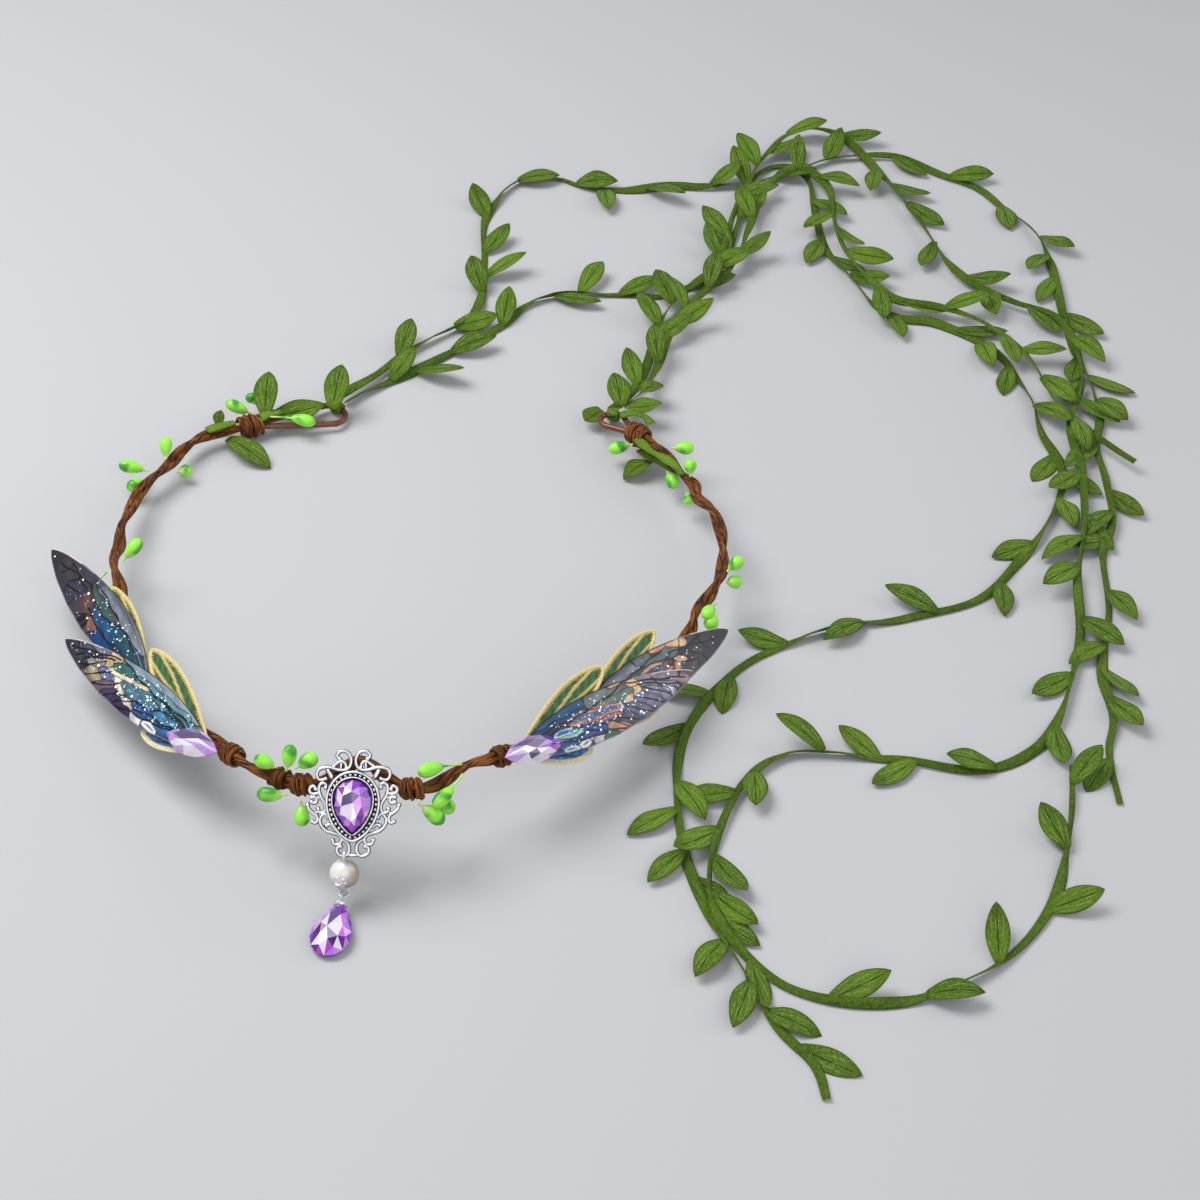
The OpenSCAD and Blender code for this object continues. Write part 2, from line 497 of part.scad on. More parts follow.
// Frame of the eye pin: its upper eye is at the origin and it runs down along -Y
module pin_place() {
    plate_place() rotate([0, 0, plate_roll]) translate([hang_at[0], hang_at[1], scroll_t / 2])
        rotate([0, 0, pin_sway - plate_roll]) rotate([pin_steeper, 0, 0]) children();
}
module eye_pin() {
    color([0.8, 0.8, 0.82]) pin_place() {
        rotate([0, 90, 0]) rotate_extrude() translate([eye_r, 0]) circle(pin_d / 2);
        translate([0, -lower_eye, 0]) rotate([0, 90, 0]) rotate_extrude() translate([link_r, 0]) circle(pin_d / 2);
        translate([0, -eye_r, 0]) rotate([90, 0, 0]) cylinder(d = pin_d, h = lower_eye - link_r - eye_r);
    }
}
module pearl() {
    color([0.96, 0.94, 0.9]) pin_place() translate([0, -pearl_down, 0]) difference() {
        sphere(d = pearl_d);
        rotate([90, 0, 0]) cylinder(d = pin_d + 0.4, h = pearl_d + 2, center = true);
    }
}

// Frame of the drop: X runs down along the stone and Z is up from its face
module drop_place() {
    pin_place() translate([0, -lower_eye, 0]) rotate([drop_slope - plate_lean - pin_steeper, 0, 0])
        translate([0, -link_gap, 0]) rotate([0, 0, -90 + drop_turn]) children();
}
module drop_cap() {
    color([0.8, 0.8, 0.82]) drop_place() {
        rotate_extrude() translate([link_r, 0]) circle(pin_d / 2);
        translate([link_r, 0, 0]) rotate([0, 90, 0]) cylinder(r1 = 0.6, r2 = 1.5, h = 1.9);
    }
}
module drop_stone() {
    color([0.75, 0.5, 0.95]) drop_place() translate([link_r + 2.05 + drop_stone_h / 2, 0, 0]) rotate([0, 0, -90])
        cut_stone(pear(drop_stone_w, drop_stone_h, 0.6, 20),
            [[0.4, -drop_back], [0.94, -0.4], [1, 0], [0.94, 0.5], [0.8, 1.7], [0.5, 2.7]]);
}

module left_front_wing() { pair_place(left_pair) resin_wing(wing_l); }
module right_front_wing() { pair_place(right_pair) resin_wing(wing_l * 0.984); }
module left_rear_wing() { pair_place(left_pair) rear_place(left_rear) resin_wing(wing_l * rear_scale); }
module right_rear_wing() { pair_place(right_pair) rear_place(right_rear) resin_wing(wing_l * rear_scale); }
module left_front_backing() { pair_place(left_pair) wing_backing(front_lobes); }
module right_front_backing() { pair_place(right_pair) wing_backing(front_lobes); }
module left_rear_backing() { pair_place(left_pair) rear_place(left_rear) wing_backing(left_rear_lobes); }
module right_rear_backing() { pair_place(right_pair) rear_place(right_rear) wing_backing(right_rear_lobes); }
module side_stone_left() { pair_place(left_pair) side_stone(left_stone); }
module side_stone_right() { pair_place(right_pair) side_stone(right_stone); }

module front_left_buds() { buds(front_left); }
module front_right_buds() { buds(front_right); }
module left_side_buds() { buds(left_side); }
module left_back_buds() { buds(left_back); }
module left_loop_buds() { buds(left_loop); }
module right_lower_buds() { buds(right_lower); }
module right_side_buds() { buds(right_side); }
module right_back_buds() { buds(right_back); }
module right_loop_buds() { buds(right_loop); }

module left_tie() {
    color([0.35, 0.5, 0.22]) along(left_loop_from, left_loop_to - left_loop_from)
        wrap(norm(left_loop_to - left_loop_from), left_loop_w, left_tie_turn, 0, 0);
}
module right_tie() {
    color([0.35, 0.5, 0.22]) along(right_loop_from, right_loop_to - right_loop_from)
        wrap(norm(right_loop_to - right_loop_from), right_loop_w, right_tie_turn, 7.2, 55);
}
module left_tie_leaves() { for (l = left_leaves) leaf_from_to(l[0], l[1]); }
module right_tie_leaves() { for (l = right_leaves) leaf_from_to(l[0], l[1]); }

module ribbon_a() { ribbon(route_a); }
module ribbon_b() { ribbon(route_b); }
module ribbon_c() { ribbon(route_c); }
module ribbon_d() { ribbon(route_d); }
module ribbon_a_leaves() { leaves(route_a, 20, bare_a); }
module ribbon_b_leaves() { leaves(route_b, 30, bare_b); }
module ribbon_c_leaves() { leaves(route_c, 19, bare_c); }
module ribbon_d_leaves() { leaves(route_d, 30, bare_d); }

translate(ring_at) {
    band();
    left_end_loop();
    right_end_loop();
    left_end_winding();
    right_end_winding();
    left_front_winding();
    right_front_winding();
    left_wing_winding();
    right_wing_winding();
    bud_knot();
    filigree_plate();
    center_stone();
    eye_pin();
    pearl();
    drop_cap();
    drop_stone();
    left_front_wing();
    left_rear_wing();
    right_front_wing();
    right_rear_wing();
    left_front_backing();
    left_rear_backing();
    right_front_backing();
    right_rear_backing();
    side_stone_left();
    side_stone_right();
    front_left_buds();
    front_right_buds();
    left_side_buds();
    left_back_buds();
    left_loop_buds();
    right_lower_buds();
    right_side_buds();
    right_back_buds();
    right_loop_buds();
    left_tie();
    right_tie();
    left_tie_leaves();
    right_tie_leaves();
    ribbon_a();
    ribbon_b();
    ribbon_c();
    ribbon_d();
    ribbon_a_leaves();
    ribbon_b_leaves();
    ribbon_c_leaves();
    ribbon_d_leaves();
}
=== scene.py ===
import math
import bmesh
import bpy
import numpy as np
from mathutils import Matrix


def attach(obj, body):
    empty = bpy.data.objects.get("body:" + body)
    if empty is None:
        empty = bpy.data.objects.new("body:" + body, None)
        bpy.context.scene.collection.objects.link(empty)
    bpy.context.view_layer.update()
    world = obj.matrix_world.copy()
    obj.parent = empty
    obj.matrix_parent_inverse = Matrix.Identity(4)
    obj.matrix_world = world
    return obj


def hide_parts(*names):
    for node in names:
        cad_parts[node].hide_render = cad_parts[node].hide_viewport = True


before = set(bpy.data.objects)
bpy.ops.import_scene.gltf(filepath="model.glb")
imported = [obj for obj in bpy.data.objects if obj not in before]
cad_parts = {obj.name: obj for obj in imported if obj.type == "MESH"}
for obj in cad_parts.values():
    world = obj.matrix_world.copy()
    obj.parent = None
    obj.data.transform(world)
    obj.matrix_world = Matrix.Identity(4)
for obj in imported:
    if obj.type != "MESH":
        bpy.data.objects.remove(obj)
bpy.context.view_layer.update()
mm = 0.001
weldGap = 0.002
dice = np.random.default_rng(17)

# All shapes are worked out in millimetres round the middle of the ring, then moved here
ringAt = np.array([6.8, 12.7, 0.0])


def xyz(*parts):
    # Numbers and arrays, stretched to one shape and put side by side as points
    return np.stack(np.broadcast_arrays(*parts), -1)


def atHeight(outline, z):
    # A flat outline as points at one height
    return xyz(*outline.T, z)


def onceRound(count):
    # Even angles, once round
    return np.linspace(0, 2 * np.pi, count, endpoint=False)


def circleOf(sides):
    # Circle of radius 1
    return xyz(np.cos(onceRound(sides)), np.sin(onceRound(sides)))


def crowdedEnds(count):
    # 0 to 1, closer together near both ends: half of 1 less a cosine
    return 0.5 - 0.5 * np.cos(np.pi * np.linspace(0, 1, count))


def unit(v):
    # Arrows cut to length 1
    return v / np.maximum(np.linalg.norm(v, axis=-1, keepdims=True), 1e-9)


def marksOf(points):
    # How far along its path each point lies
    return np.concatenate([[0], np.cumsum(np.linalg.norm(np.diff(points, axis=0), axis=1))])


def aim(root, tip):
    # Length, heading and rise of the line from root to tip
    d = np.array(tip, float) - np.array(root, float)
    length = float(np.linalg.norm(d))
    return length, math.degrees(math.atan2(d[1], d[0])), math.degrees(math.asin(d[2] / length))


def spotsOn(route, stations):
    # Cubic through four neighbouring points of a route, for all stations at once
    route = np.asarray(route, float)
    stations = np.asarray(stations, float)
    i = np.clip(np.floor(stations).astype(int), 0, len(route) - 2)
    t = (stations - i)[:, None]
    p, q = route[np.maximum(i - 1, 0)], route[i]
    r, s = route[i + 1], route[np.minimum(i + 2, len(route) - 1)]
    curve = (2 * p - 5 * q + 4 * r - s) * t ** 2 + (3 * q - p - 3 * r + s) * t ** 3
    return 0.5 * (2 * q + (r - p) * t + curve)


def evenRoute(route, step):
    # Points at even distances along a smooth route, with those distances
    fine = np.linspace(0, len(route) - 1, 40 * len(route))
    marks = marksOf(spotsOn(route, fine))
    lengths = np.linspace(0, marks[-1], max(3, int(round(marks[-1] / step)) + 1))
    return spotsOn(route, np.interp(lengths, marks, fine)), lengths


def framesOf(points, upward=(0.0, 0.0, 1.0), closed=False):
    # Heading, side and lift at each point, the lift as near to upward as it can be
    if closed:
        ahead = unit(np.roll(points, -1, axis=0) - np.roll(points, 1, axis=0))
    else:
        ahead = unit(np.gradient(points, axis=0))
    side = unit(np.cross(np.broadcast_to(np.asarray(upward, float), points.shape), ahead))
    return ahead, side, np.cross(ahead, side)


def turned(points, *moves):
    # Carries points through moves, the last one first: ("at", x, y, z) shifts, ("flip",) mirrors Y and
    # ("X", degrees) turns
    points = np.asarray(points, float)
    shape = points.shape
    flat = points.reshape(-1, 3)
    for move in reversed(moves):
        if move[0] == "at":
            flat = flat + np.array(move[1:])
        elif move[0] == "flip":
            flat = flat * np.array([1.0, -1.0, 1.0])
        else:
            flat = flat @ np.array(Matrix.Rotation(math.radians(move[1]), 3, move[0])).T
    return flat.reshape(shape)


class Mould:
    # Collects grids of points for one piece, with the map, the tone and the paint of each
    def __init__(self):
        self.points, self.faces, self.flow, self.tones, self.paints, self.count = [], [], [], [], [], 0

    def grid(self, points, u=None, v=None, ends=True, tone=0.0, paint=None):
        # One row of the grid is one ring; ends closes the first and last ring
        points = np.asarray(points, float)
        rows, cols = points.shape[:2]
        j, i = np.meshgrid(np.arange(rows - 1), np.arange(cols), indexing="ij")
        around = [(j, i), (j, i + 1), (j + 1, i + 1), (j + 1, i)]
        quads = xyz(*(b * cols + a % cols for b, a in around))
        u = np.linspace(0, 1, rows) if u is None else np.asarray(u, float)
        v = np.linspace(0, 1, cols + 1) if v is None else np.asarray(v, float)
        flow = np.stack([xyz(u[b], v[a]) for b, a in around], 2)
        self.put(points.reshape(-1, 3), quads.reshape(-1, 4), flow.reshape(-1, 4, 2), tone, paint)
        if ends:
            for row in (0, rows - 1):
                self.faces.append(np.arange(cols)[None, :] + self.count + (row - rows) * cols)
                self.flow.append(np.tile([u[row], v[0]], (1, cols, 1)))
                self.tones.append(np.full(1, float(tone)))

    def facet(self, corners, shade):
        # One flat facet with its own colour
        count = len(corners)
        flow = np.full((1, count, 2), 0.5)
        self.put(np.array(corners), np.arange(count)[None, :], flow, 0.0, np.tile(shade, (count, 1)))

    def put(self, points, faces, flow, tone, paint=None):
        # Adds points, and faces that count from the first of them
        self.points.append(points)
        self.faces.append(faces + self.count)
        self.flow.append(flow)
        self.tones.append(np.full(len(faces), float(tone)))
        self.paints.append(np.zeros((len(points), 3)) if paint is None else np.reshape(paint, (-1, 3)))
        self.count += len(points)

    def add(self, other):
        # Takes over all that another mould holds
        for field in ("points", "flow", "tones", "paints"):
            getattr(self, field).extend(getattr(other, field))
        self.faces.extend(f + self.count for f in other.faces)
        self.count += other.count

    def move(self, *moves):
        # Carries all points through moves
        self.points = [turned(p, *moves) for p in self.points]
        return self


def addObject(name, data):
    # A mesh, camera or lamp put into the scene
    thing = bpy.data.objects.new(name, data)
    bpy.context.scene.collection.objects.link(thing)
    return thing


def makePiece(name, mould, finish, nodes, smooth=True, top=None):
    # Puts a mould's grids into one mesh that rides on the crown and stands for the nodes named. A painted
    # mould stores its colours; top is a direction, and how far each point faces it is stored as well.
    points = (np.concatenate(mould.points) + ringAt) * mm
    sizes = np.concatenate([np.full(len(f), f.shape[1]) for f in mould.faces])
    corners = np.concatenate([f.ravel() for f in mould.faces])
    starts = np.concatenate([[0], np.cumsum(sizes)[:-1]])
    mesh = bpy.data.meshes.new(name)
    mesh.vertices.add(len(points))
    mesh.vertices.foreach_set("co", points.ravel())
    mesh.loops.add(len(corners))
    mesh.loops.foreach_set("vertex_index", corners.astype(np.int32))
    mesh.polygons.add(len(starts))
    mesh.polygons.foreach_set("loop_start", starts.astype(np.int32))
    mesh.polygons.foreach_set("use_smooth", np.full(len(starts), smooth))
    flow = np.concatenate([f.reshape(-1, 2) for f in mould.flow])
    mesh.uv_layers.new(name="flow").data.foreach_set("uv", flow.ravel())
    mesh.attributes.new("tone", "FLOAT", "FACE").data.foreach_set("value", np.concatenate(mould.tones))
    paint = np.concatenate(mould.paints)
    if paint.any():
        paint = np.column_stack([paint, np.ones(len(paint))])[corners]
        mesh.attributes.new("paint", "FLOAT_COLOR", "CORNER").data.foreach_set("color", paint.ravel())
    mesh.update(calc_edges=True)
    work = bmesh.new()
    work.from_mesh(mesh)
    bmesh.ops.remove_doubles(work, verts=work.verts, dist=weldGap * mm)
    bmesh.ops.recalc_face_normals(work, faces=work.faces)
    work.to_mesh(mesh)
    work.free()
    if top is not None:
        normals = np.empty(3 * len(mesh.vertices))
        mesh.vertices.foreach_get("normal", normals)
        facing = normals.reshape(-1, 3) @ np.asarray(top, float)
        mesh.attributes.new("facing", "FLOAT", "POINT").data.foreach_set("value", facing)
    piece = addObject(name, mesh)
    mesh.materials.append(finish.material)
    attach(piece, "root")
    if nodes:
        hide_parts(*nodes)
    return piece


def ringsAlong(points, outline, side, lift, scale=1.0):
    # Carries a closed outline along a path: rows of rings
    offset = side[:, None] * outline[..., 0, None] + lift[:, None] * outline[..., 1, None]
    return points[:, None] + np.broadcast_to(scale, len(points))[:, None, None] * offset


def addRod(mould, points, radius, sides=10, upward=(0.0, 0.0, 1.0), closed=False, flat=1.0, u=None):
    # Round rod along a path; radius may change from point to point
    points = np.asarray(points, float)
    _, side, lift = framesOf(points, upward, closed)
    rings = ringsAlong(points, circleOf(sides) * [1.0, flat], side, lift, radius)
    if closed:
        rings = np.concatenate([rings, rings[:1]])
    mould.grid(rings, u=marksOf(rings[:, 0]) if u is None else u, ends=not closed)


def addBall(mould, at, radius, rows=8, sides=12, squash=1.0):
    # Ball: circles from pole to pole
    a = np.linspace(0, np.pi, rows)[:, None]
    x, y = circleOf(sides).T
    ball = xyz(np.sin(a) * x, np.sin(a) * y, -np.cos(a) * squash)
    mould.grid(np.asarray(at, float) + radius * ball, ends=False)


def ink(red, green, blue):
    # A colour as it looks on a screen, 0 to 255, made linear
    c = np.array([red, green, blue]) / 255.0
    return np.where(c < 0.04045, c / 12.92, ((c + 0.055) / 1.055) ** 2.4)


class Wire:
    # A node's output that takes part in sums: every operator adds one Math node
    def __init__(self, finish, socket):
        self.finish, self.socket = finish, socket

    def math(self, operation, *values):
        return self.finish.math(operation, *values)

    def __add__(self, other):
        return self.math("ADD", self, other)

    def __sub__(self, other):
        return self.math("SUBTRACT", self, other)

    def __rsub__(self, other):
        return self.math("SUBTRACT", other, self)

    def __mul__(self, other):
        return self.math("MULTIPLY", self, other)

    def __abs__(self):
        return self.math("ABSOLUTE", self)

    __radd__ = __add__
    __rmul__ = __mul__


class Finish:
    # One material: its main shader, and nodes added by type, settings and values
    def __init__(self, name, **fixed):
        self.material = bpy.data.materials.new(name)
        self.material.use_nodes = True
        self.tree = self.material.node_tree
        self.shader = self.tree.nodes["Principled BSDF"]
        for key, value in fixed.items():
            self.shader.inputs[key.replace("_", " ")].default_value = value

    def add(self, kind, settings=None, values=None, output=0):
        # One node: its settings, its inputs as numbers or wires, and the output that goes on
        node = self.tree.nodes.new(kind)
        for key, value in (settings or {}).items():
            if key == "stops":
                ramp = node.color_ramp
                while len(ramp.elements) < len(value):
                    ramp.elements.new(0.5)
                for element, (place, color) in zip(ramp.elements, value):
                    element.position = place
                    element.color = (*color, 1.0)
            else:
                setattr(node, key, value)
        for key, value in (values or {}).items():
            if isinstance(value, Wire):
                self.tree.links.new(value.socket, node.inputs[key])
            else:
                node.inputs[key].default_value = value
        return Wire(self, node.outputs[output])

    def math(self, operation, *values):
        return self.add("ShaderNodeMath", {"operation": operation}, dict(enumerate(values)))

    def flow(self):
        # The piece's own map, as two numbers
        split = self.add("ShaderNodeSeparateXYZ", values={0: self.add("ShaderNodeUVMap", {"uv_map": "flow"})})
        return split, Wire(self, split.socket.node.outputs[1])

    def spot(self, x, y, z):
        return self.add("ShaderNodeCombineXYZ", values={0: x, 1: y, 2: z})

    def noise(self, scale, detail=3.0, where=None, rough=0.55):
        where = where or self.add("ShaderNodeTexCoord", output="Object")
        values = {"Vector": where, "Scale": scale, "Detail": detail, "Roughness": rough}
        return self.add("ShaderNodeTexNoise", None, values, "Fac")

    def tone(self, name="tone"):
        # A number stored with the mesh
        return self.add("ShaderNodeAttribute", {"attribute_name": name}, output="Fac")

    def paint(self):
        return self.add("ShaderNodeAttribute", {"attribute_name": "paint"}, output="Color")

    def blend(self, amount, first, second):
        first, second = (c if isinstance(c, Wire) else (*c, 1.0) for c in (first, second))
        return self.add("ShaderNodeMix", {"data_type": "RGBA"}, {0: amount, 6: first, 7: second}, 2)

    def ramp(self, amount, stops):
        return self.add("ShaderNodeValToRGB", {"stops": stops}, {0: amount})

    def band(self, amount, low, high):
        # 0 below low, 1 above high, smooth between
        return self.add("ShaderNodeMapRange", {"interpolation_type": "SMOOTHSTEP"},
                        {"Value": amount, "From Min": low, "From Max": high})

    def emboss(self, height, distance):
        # Relief of the surface, as deep as distance in millimetres
        self.give("Normal", self.add("ShaderNodeBump", None, {"Height": height, "Distance": distance * mm}))

    def give(self, key, wire):
        self.tree.links.new(wire.socket, self.shader.inputs[key])

    def sine(self, wire):
        return self.math("SINE", wire)

    def rest(self, wire):
        # What is left over after whole numbers, 0 to 1
        return self.math("FRACT", wire)


# View and light
view = {"lens": 83.07, "yaw": 4.92, "down": 40.3, "roll": 4.59, "at": (106.39, -621.35, 540.0)}
camera = addObject("camera", bpy.data.cameras.new("camera"))
camera.data.lens = view["lens"]
camera.data.sensor_width = 36.0
turn = Matrix.Rotation(math.radians(view["yaw"]), 4, "Z")
turn = turn @ Matrix.Rotation(math.radians(90 - view["down"]), 4, "X")
turn = turn @ Matrix.Rotation(math.radians(view["roll"]), 4, "Z")
camera.matrix_world = Matrix.Translation((np.array(view["at"]) + ringAt) * mm) @ turn
bpy.context.scene.camera = camera

floorMesh = bpy.data.meshes.new("floor")
floorCorners = [(-3, -3, -0.0001), (3, -3, -0.0001), (3, 3, -0.0001), (-3, 3, -0.0001)]
floorMesh.from_pydata(floorCorners, [], [(0, 1, 2, 3)])
floor = addObject("floor", floorMesh)
paleFloor = Finish("paleFloor", Base_Color=(0.5, 0.5, 0.51, 1), Roughness=0.85)
floorMesh.materials.append(paleFloor.material)

lights = {"key": ((-0.45, 0.1, 0.8), 8.0, 0.6), "front": ((0.25, -0.75, 0.65), 3.0, 0.8),
          "side": ((0.85, 0.35, 0.5), 2.6, 0.8)}
for lightName, (place, power, width) in lights.items():
    lamp = bpy.data.lights.new(lightName, "AREA")
    lamp.energy, lamp.size = power, width
    lampObject = addObject(lightName, lamp)
    towards = (Matrix.Translation(place).translation * -1).to_track_quat("-Z", "Y")
    lampObject.matrix_world = Matrix.Translation(place) @ towards.to_matrix().to_4x4()
world = bpy.data.worlds.new("softRoom")
world.use_nodes = True
world.node_tree.nodes["Background"].inputs[0].default_value = (0.9, 0.93, 1.0, 1)
world.node_tree.nodes["Background"].inputs[1].default_value = 0.36
bpy.context.scene.world = world
bpy.context.scene.view_settings.view_transform = "Standard"
print("view and light ready")


# Leaf ribbons
def leafFinish():
    # Pressed cloth leaf: u runs along it from 0 to 1, v across from -1 to 1, and u is negative on the bare
    # ribbon; a groove down the middle, short ridges beside it, diagonal weave
    leaf = Finish("leafSatin", Specular_IOR_Level=0.22)
    u, v = leaf.flow()
    pressed = leaf.band(u, 0.1, 0.2) * leaf.band(u, 0.9, 0.78)
    groove = leaf.band(abs(v), 0.09, 0.02) * pressed
    ridges = leaf.band(abs(leaf.rest(abs(v) * 2.3 - u * 1.7 + 0.35) - 0.5), 0.11, 0.03)
    ridges = ridges * leaf.band(abs(v), 0.85, 0.7) * pressed * leaf.band(leaf.noise(230.0, 1.0), 0.4, 0.5)
    around = 2 * math.pi / 0.8
    weave = leaf.sine((u * 17.0 + v * 4.0) * around) * leaf.sine((u * 17.0 - v * 4.0) * around)
    grain = leaf.noise(1500.0, 3.0)
    patch = leaf.noise(60.0, 3.0)
    base = leaf.blend(leaf.band(patch, 0.3, 0.7), ink(62, 104, 6), ink(118, 162, 26))
    base = leaf.blend(leaf.tone() * 0.7, base, ink(62, 98, 14))
    # Painted sheen: the ribbon's edges, its weave and its grain are painted lighter, towards a highlight
    # green
    light = leaf.band(abs(v), 0.82, 1.0) * 0.25 + leaf.band(weave, 0.1, 0.7) * 0.4
    base = leaf.blend(light + leaf.band(grain, 0.35, 0.7) * 0.35, base, ink(176, 212, 84))
    # Painted highlight: the raised ridges are painted pale
    base = leaf.blend(ridges * 0.75, base, ink(196, 222, 124))
    # Painted shade: the middle groove is painted dark
    leaf.give("Base Color", leaf.blend(groove * 0.8, base, ink(34, 62, 22)))
    leaf.give("Roughness", 0.5 + grain * 0.22)
    leaf.emboss(ridges * 0.9 - groove * 1.1 + weave * 0.6 + grain * 0.6 + patch * 0.4, 0.4)
    return leaf


leafSatin = leafFinish()
leafShape = {"length": 16.4, "width": 7.4, "thick": 0.45, "step": 25.0, "turn": 37.0, "waves": 6.5,
             "bow": 0.08, "lowest": 0.125, "rows": 15,
             "across": [-1, -0.75, -0.45, -0.18, 0, 0.18, 0.45, 0.75, 1]}
# Least and most: share of the length and of the width; fold, curl, wave, phase and tone
leafSpread = {"length": (0.92, 1.1), "width": (0.88, 1.05)}
leafForms = ((0.05, -0.1, -0.12, 0, 0), (0.25, 0.1, 0.12, 6, 1))


def putLeaf(mould, root, heading, rise, tilt, length, width, fold, curl, wave, phase, tone):
    # Leaf along X: half width is a power of a sine of the stretched length; its edges rise from the middle
    # rib by fold, its tip by curl, and a wave runs along its edges. Top and underside make closed rings.
    s = np.linspace(0, 1, leafShape["rows"])[:, None]
    across = leafShape["across"]
    t = np.array([across + across[-2:0:-1]])
    below = np.arange(t.size) >= len(across)
    half = width / 2 * (0.3 * (1 - s) ** 4 + np.sin(np.pi * s ** 0.94) ** 0.74 * (1 - 0.35 * (1 - s) ** 3))
    half = half * (s < 0.999)
    full = half / (width / 2)
    z = fold * np.abs(t) ** 1.3 * half + curl * length * s ** 2
    z = z + wave * np.sin(leafShape["waves"] * s + phase) * t * half
    z = z + leafShape["bow"] * length * np.sin(np.pi * s) * np.sin(phase)
    body = leafShape["thick"] / 2 * np.clip(full * 2.2, 0, 1) * np.sqrt(np.clip(1.02 - np.abs(t), 0, 1))
    grid = xyz(s * length, t * half, z + np.where(below, -body, body))
    grid = turned(grid, ("at", *root), ("Z", heading), ("Y", -rise), ("X", tilt))
    # lifts each part of the leaf that would lie in the surface
    lowest = leafShape["lowest"]
    grid[..., 2] = lowest + np.logaddexp(0, (grid[..., 2] - lowest) * 4) / 4
    mould.grid(grid, u=s[:, 0], v=np.append(t[0], -1.0), tone=tone)


# Along a ribbon: where its first leaf is, which leaves are missing and which are pairs, and its route's
# points, whose height is the level where none is given
strands = {
    "ribbon_a": {"first": 20.0, "bare": (9,), "full": (0, 3, 11, 14, 17, 24, 26, 27, 28, 29), "level": 0.6,
     "route": [
        [-43, 92, 1.4], [-34, 105], [-23, 116], [-8, 137], [0, 148], [6, 162], [19, 171], [40, 176],
        [51, 178], [64, 191], [70, 211], [72, 232], [72, 251], [75, 263], [80, 271], [85, 273.4], [90, 271],
        [95, 263], [98, 248], [104, 222], [113, 206], [123, 190], [133, 182], [145, 182], [159, 176],
        [170, 165], [179, 144], [183, 127], [190, 108], [188, 86], [178, 59], [166, 37], [144, 23],
        [125, 15], [104, -1], [92, -18], [84, -42], [84, -64], [89, -88], [98, -109], [118, -143],
        [130, -156], [134, -167]]},
    "ribbon_b": {"first": 30.0, "bare": (), "full": (2, 6, 9, 14, 17, 20, 23), "level": 0.6,
     "route": [
        [-45, 94, 3.2], [-36, 109, 2], [-30, 122, 2], [-22, 134, 2], [-13, 146, 2], [-10, 161, 2],
        [-13, 185], [-17, 208], [-15, 226], [-10, 238], [-4, 243.5], [5, 245], [14, 242], [31, 243],
        [46, 248, 0.8], [62, 252, 2], [76, 258, 2], [91, 271, 2], [104, 282, 2], [125, 288, 2],
        [142, 281, 1.2], [157, 275], [167, 263], [178, 249], [184, 233, 0.8], [187, 212, 2], [190, 191, 2],
        [193, 175, 2], [198, 160, 2], [202, 140, 2], [201, 121, 2], [204, 104, 2], [206, 84, 2],
        [203, 65, 2], [205, 40, 0.8], [203, 10], [206, -10], [205, -25], [208, -45]]},
    "ribbon_c": {"first": 19.0, "bare": (), "full": (1, 3, 6, 9, 12, 15, 18, 24, 26, 27), "level": 3.4,
     "route": [
        [42, 104], [48, 116], [51, 133], [52, 157], [57, 175], [66, 193], [69, 212], [70, 232], [74, 260],
        [79, 279], [84, 291], [92, 298], [101, 297.5], [109, 290], [118, 276], [128, 260], [138, 240],
        [148, 218], [158, 206], [172, 198], [186, 193], [193, 178], [196, 155], [192, 130], [196, 105],
        [197, 76], [195, 50], [196, 22, 2], [190, -14, 2], [181, -31, 0.8], [166, -40, 0.6],
        [146, -40, 0.6], [128, -41, 0.6], [112, -45, 1.4], [102, -60, 2], [97, -84, 2], [98, -104, 2],
        [107, -121, 2], [122, -132, 0.8], [141, -134, 0.6], [160, -126, 0.6], [178, -110, 0.6],
        [190, -86, 0.6], [194, -56, 2], [194, -33, 2]]},
    "ribbon_d": {"first": 30.0, "bare": (5,), "full": (1, 7, 9, 11), "level": 4.8,
     "route": [
        [45, 104], [52, 116], [55, 134], [57, 156], [63, 173], [71, 190], [75, 208], [77, 228], [79, 246],
        [82, 256], [87, 263], [92, 265.4], [97, 263], [102, 256], [104.5, 246], [107, 230], [112, 214],
        [121, 199], [131, 188], [146, 187], [160, 182], [172, 171], [180, 158], [186, 142], [196, 128],
        [206, 118], [213, 112]]}}

# Ribbon: half width, thickness and greatest roll; lengths of the waves in its roll and its width; how much it
# narrows in a wave, and over how long and by how much at its end
ribbonShape = {
    "half": 1.7, "thick": 0.5, "roll": 62.0, "rollWaves": (17, 7.3), "widthWave": 11, "narrow": 0.16,
    "endLength": 26, "endNarrow": 0.35, "across": [1, 0.6, 0.2, 0, -0.2, -0.6, -1, -0.5, 0, 0.5],
    "up": [0, 0.4, 0.5, 0.9, 0.5, 0.4, 0, -0.4, -0.4, -0.4]}

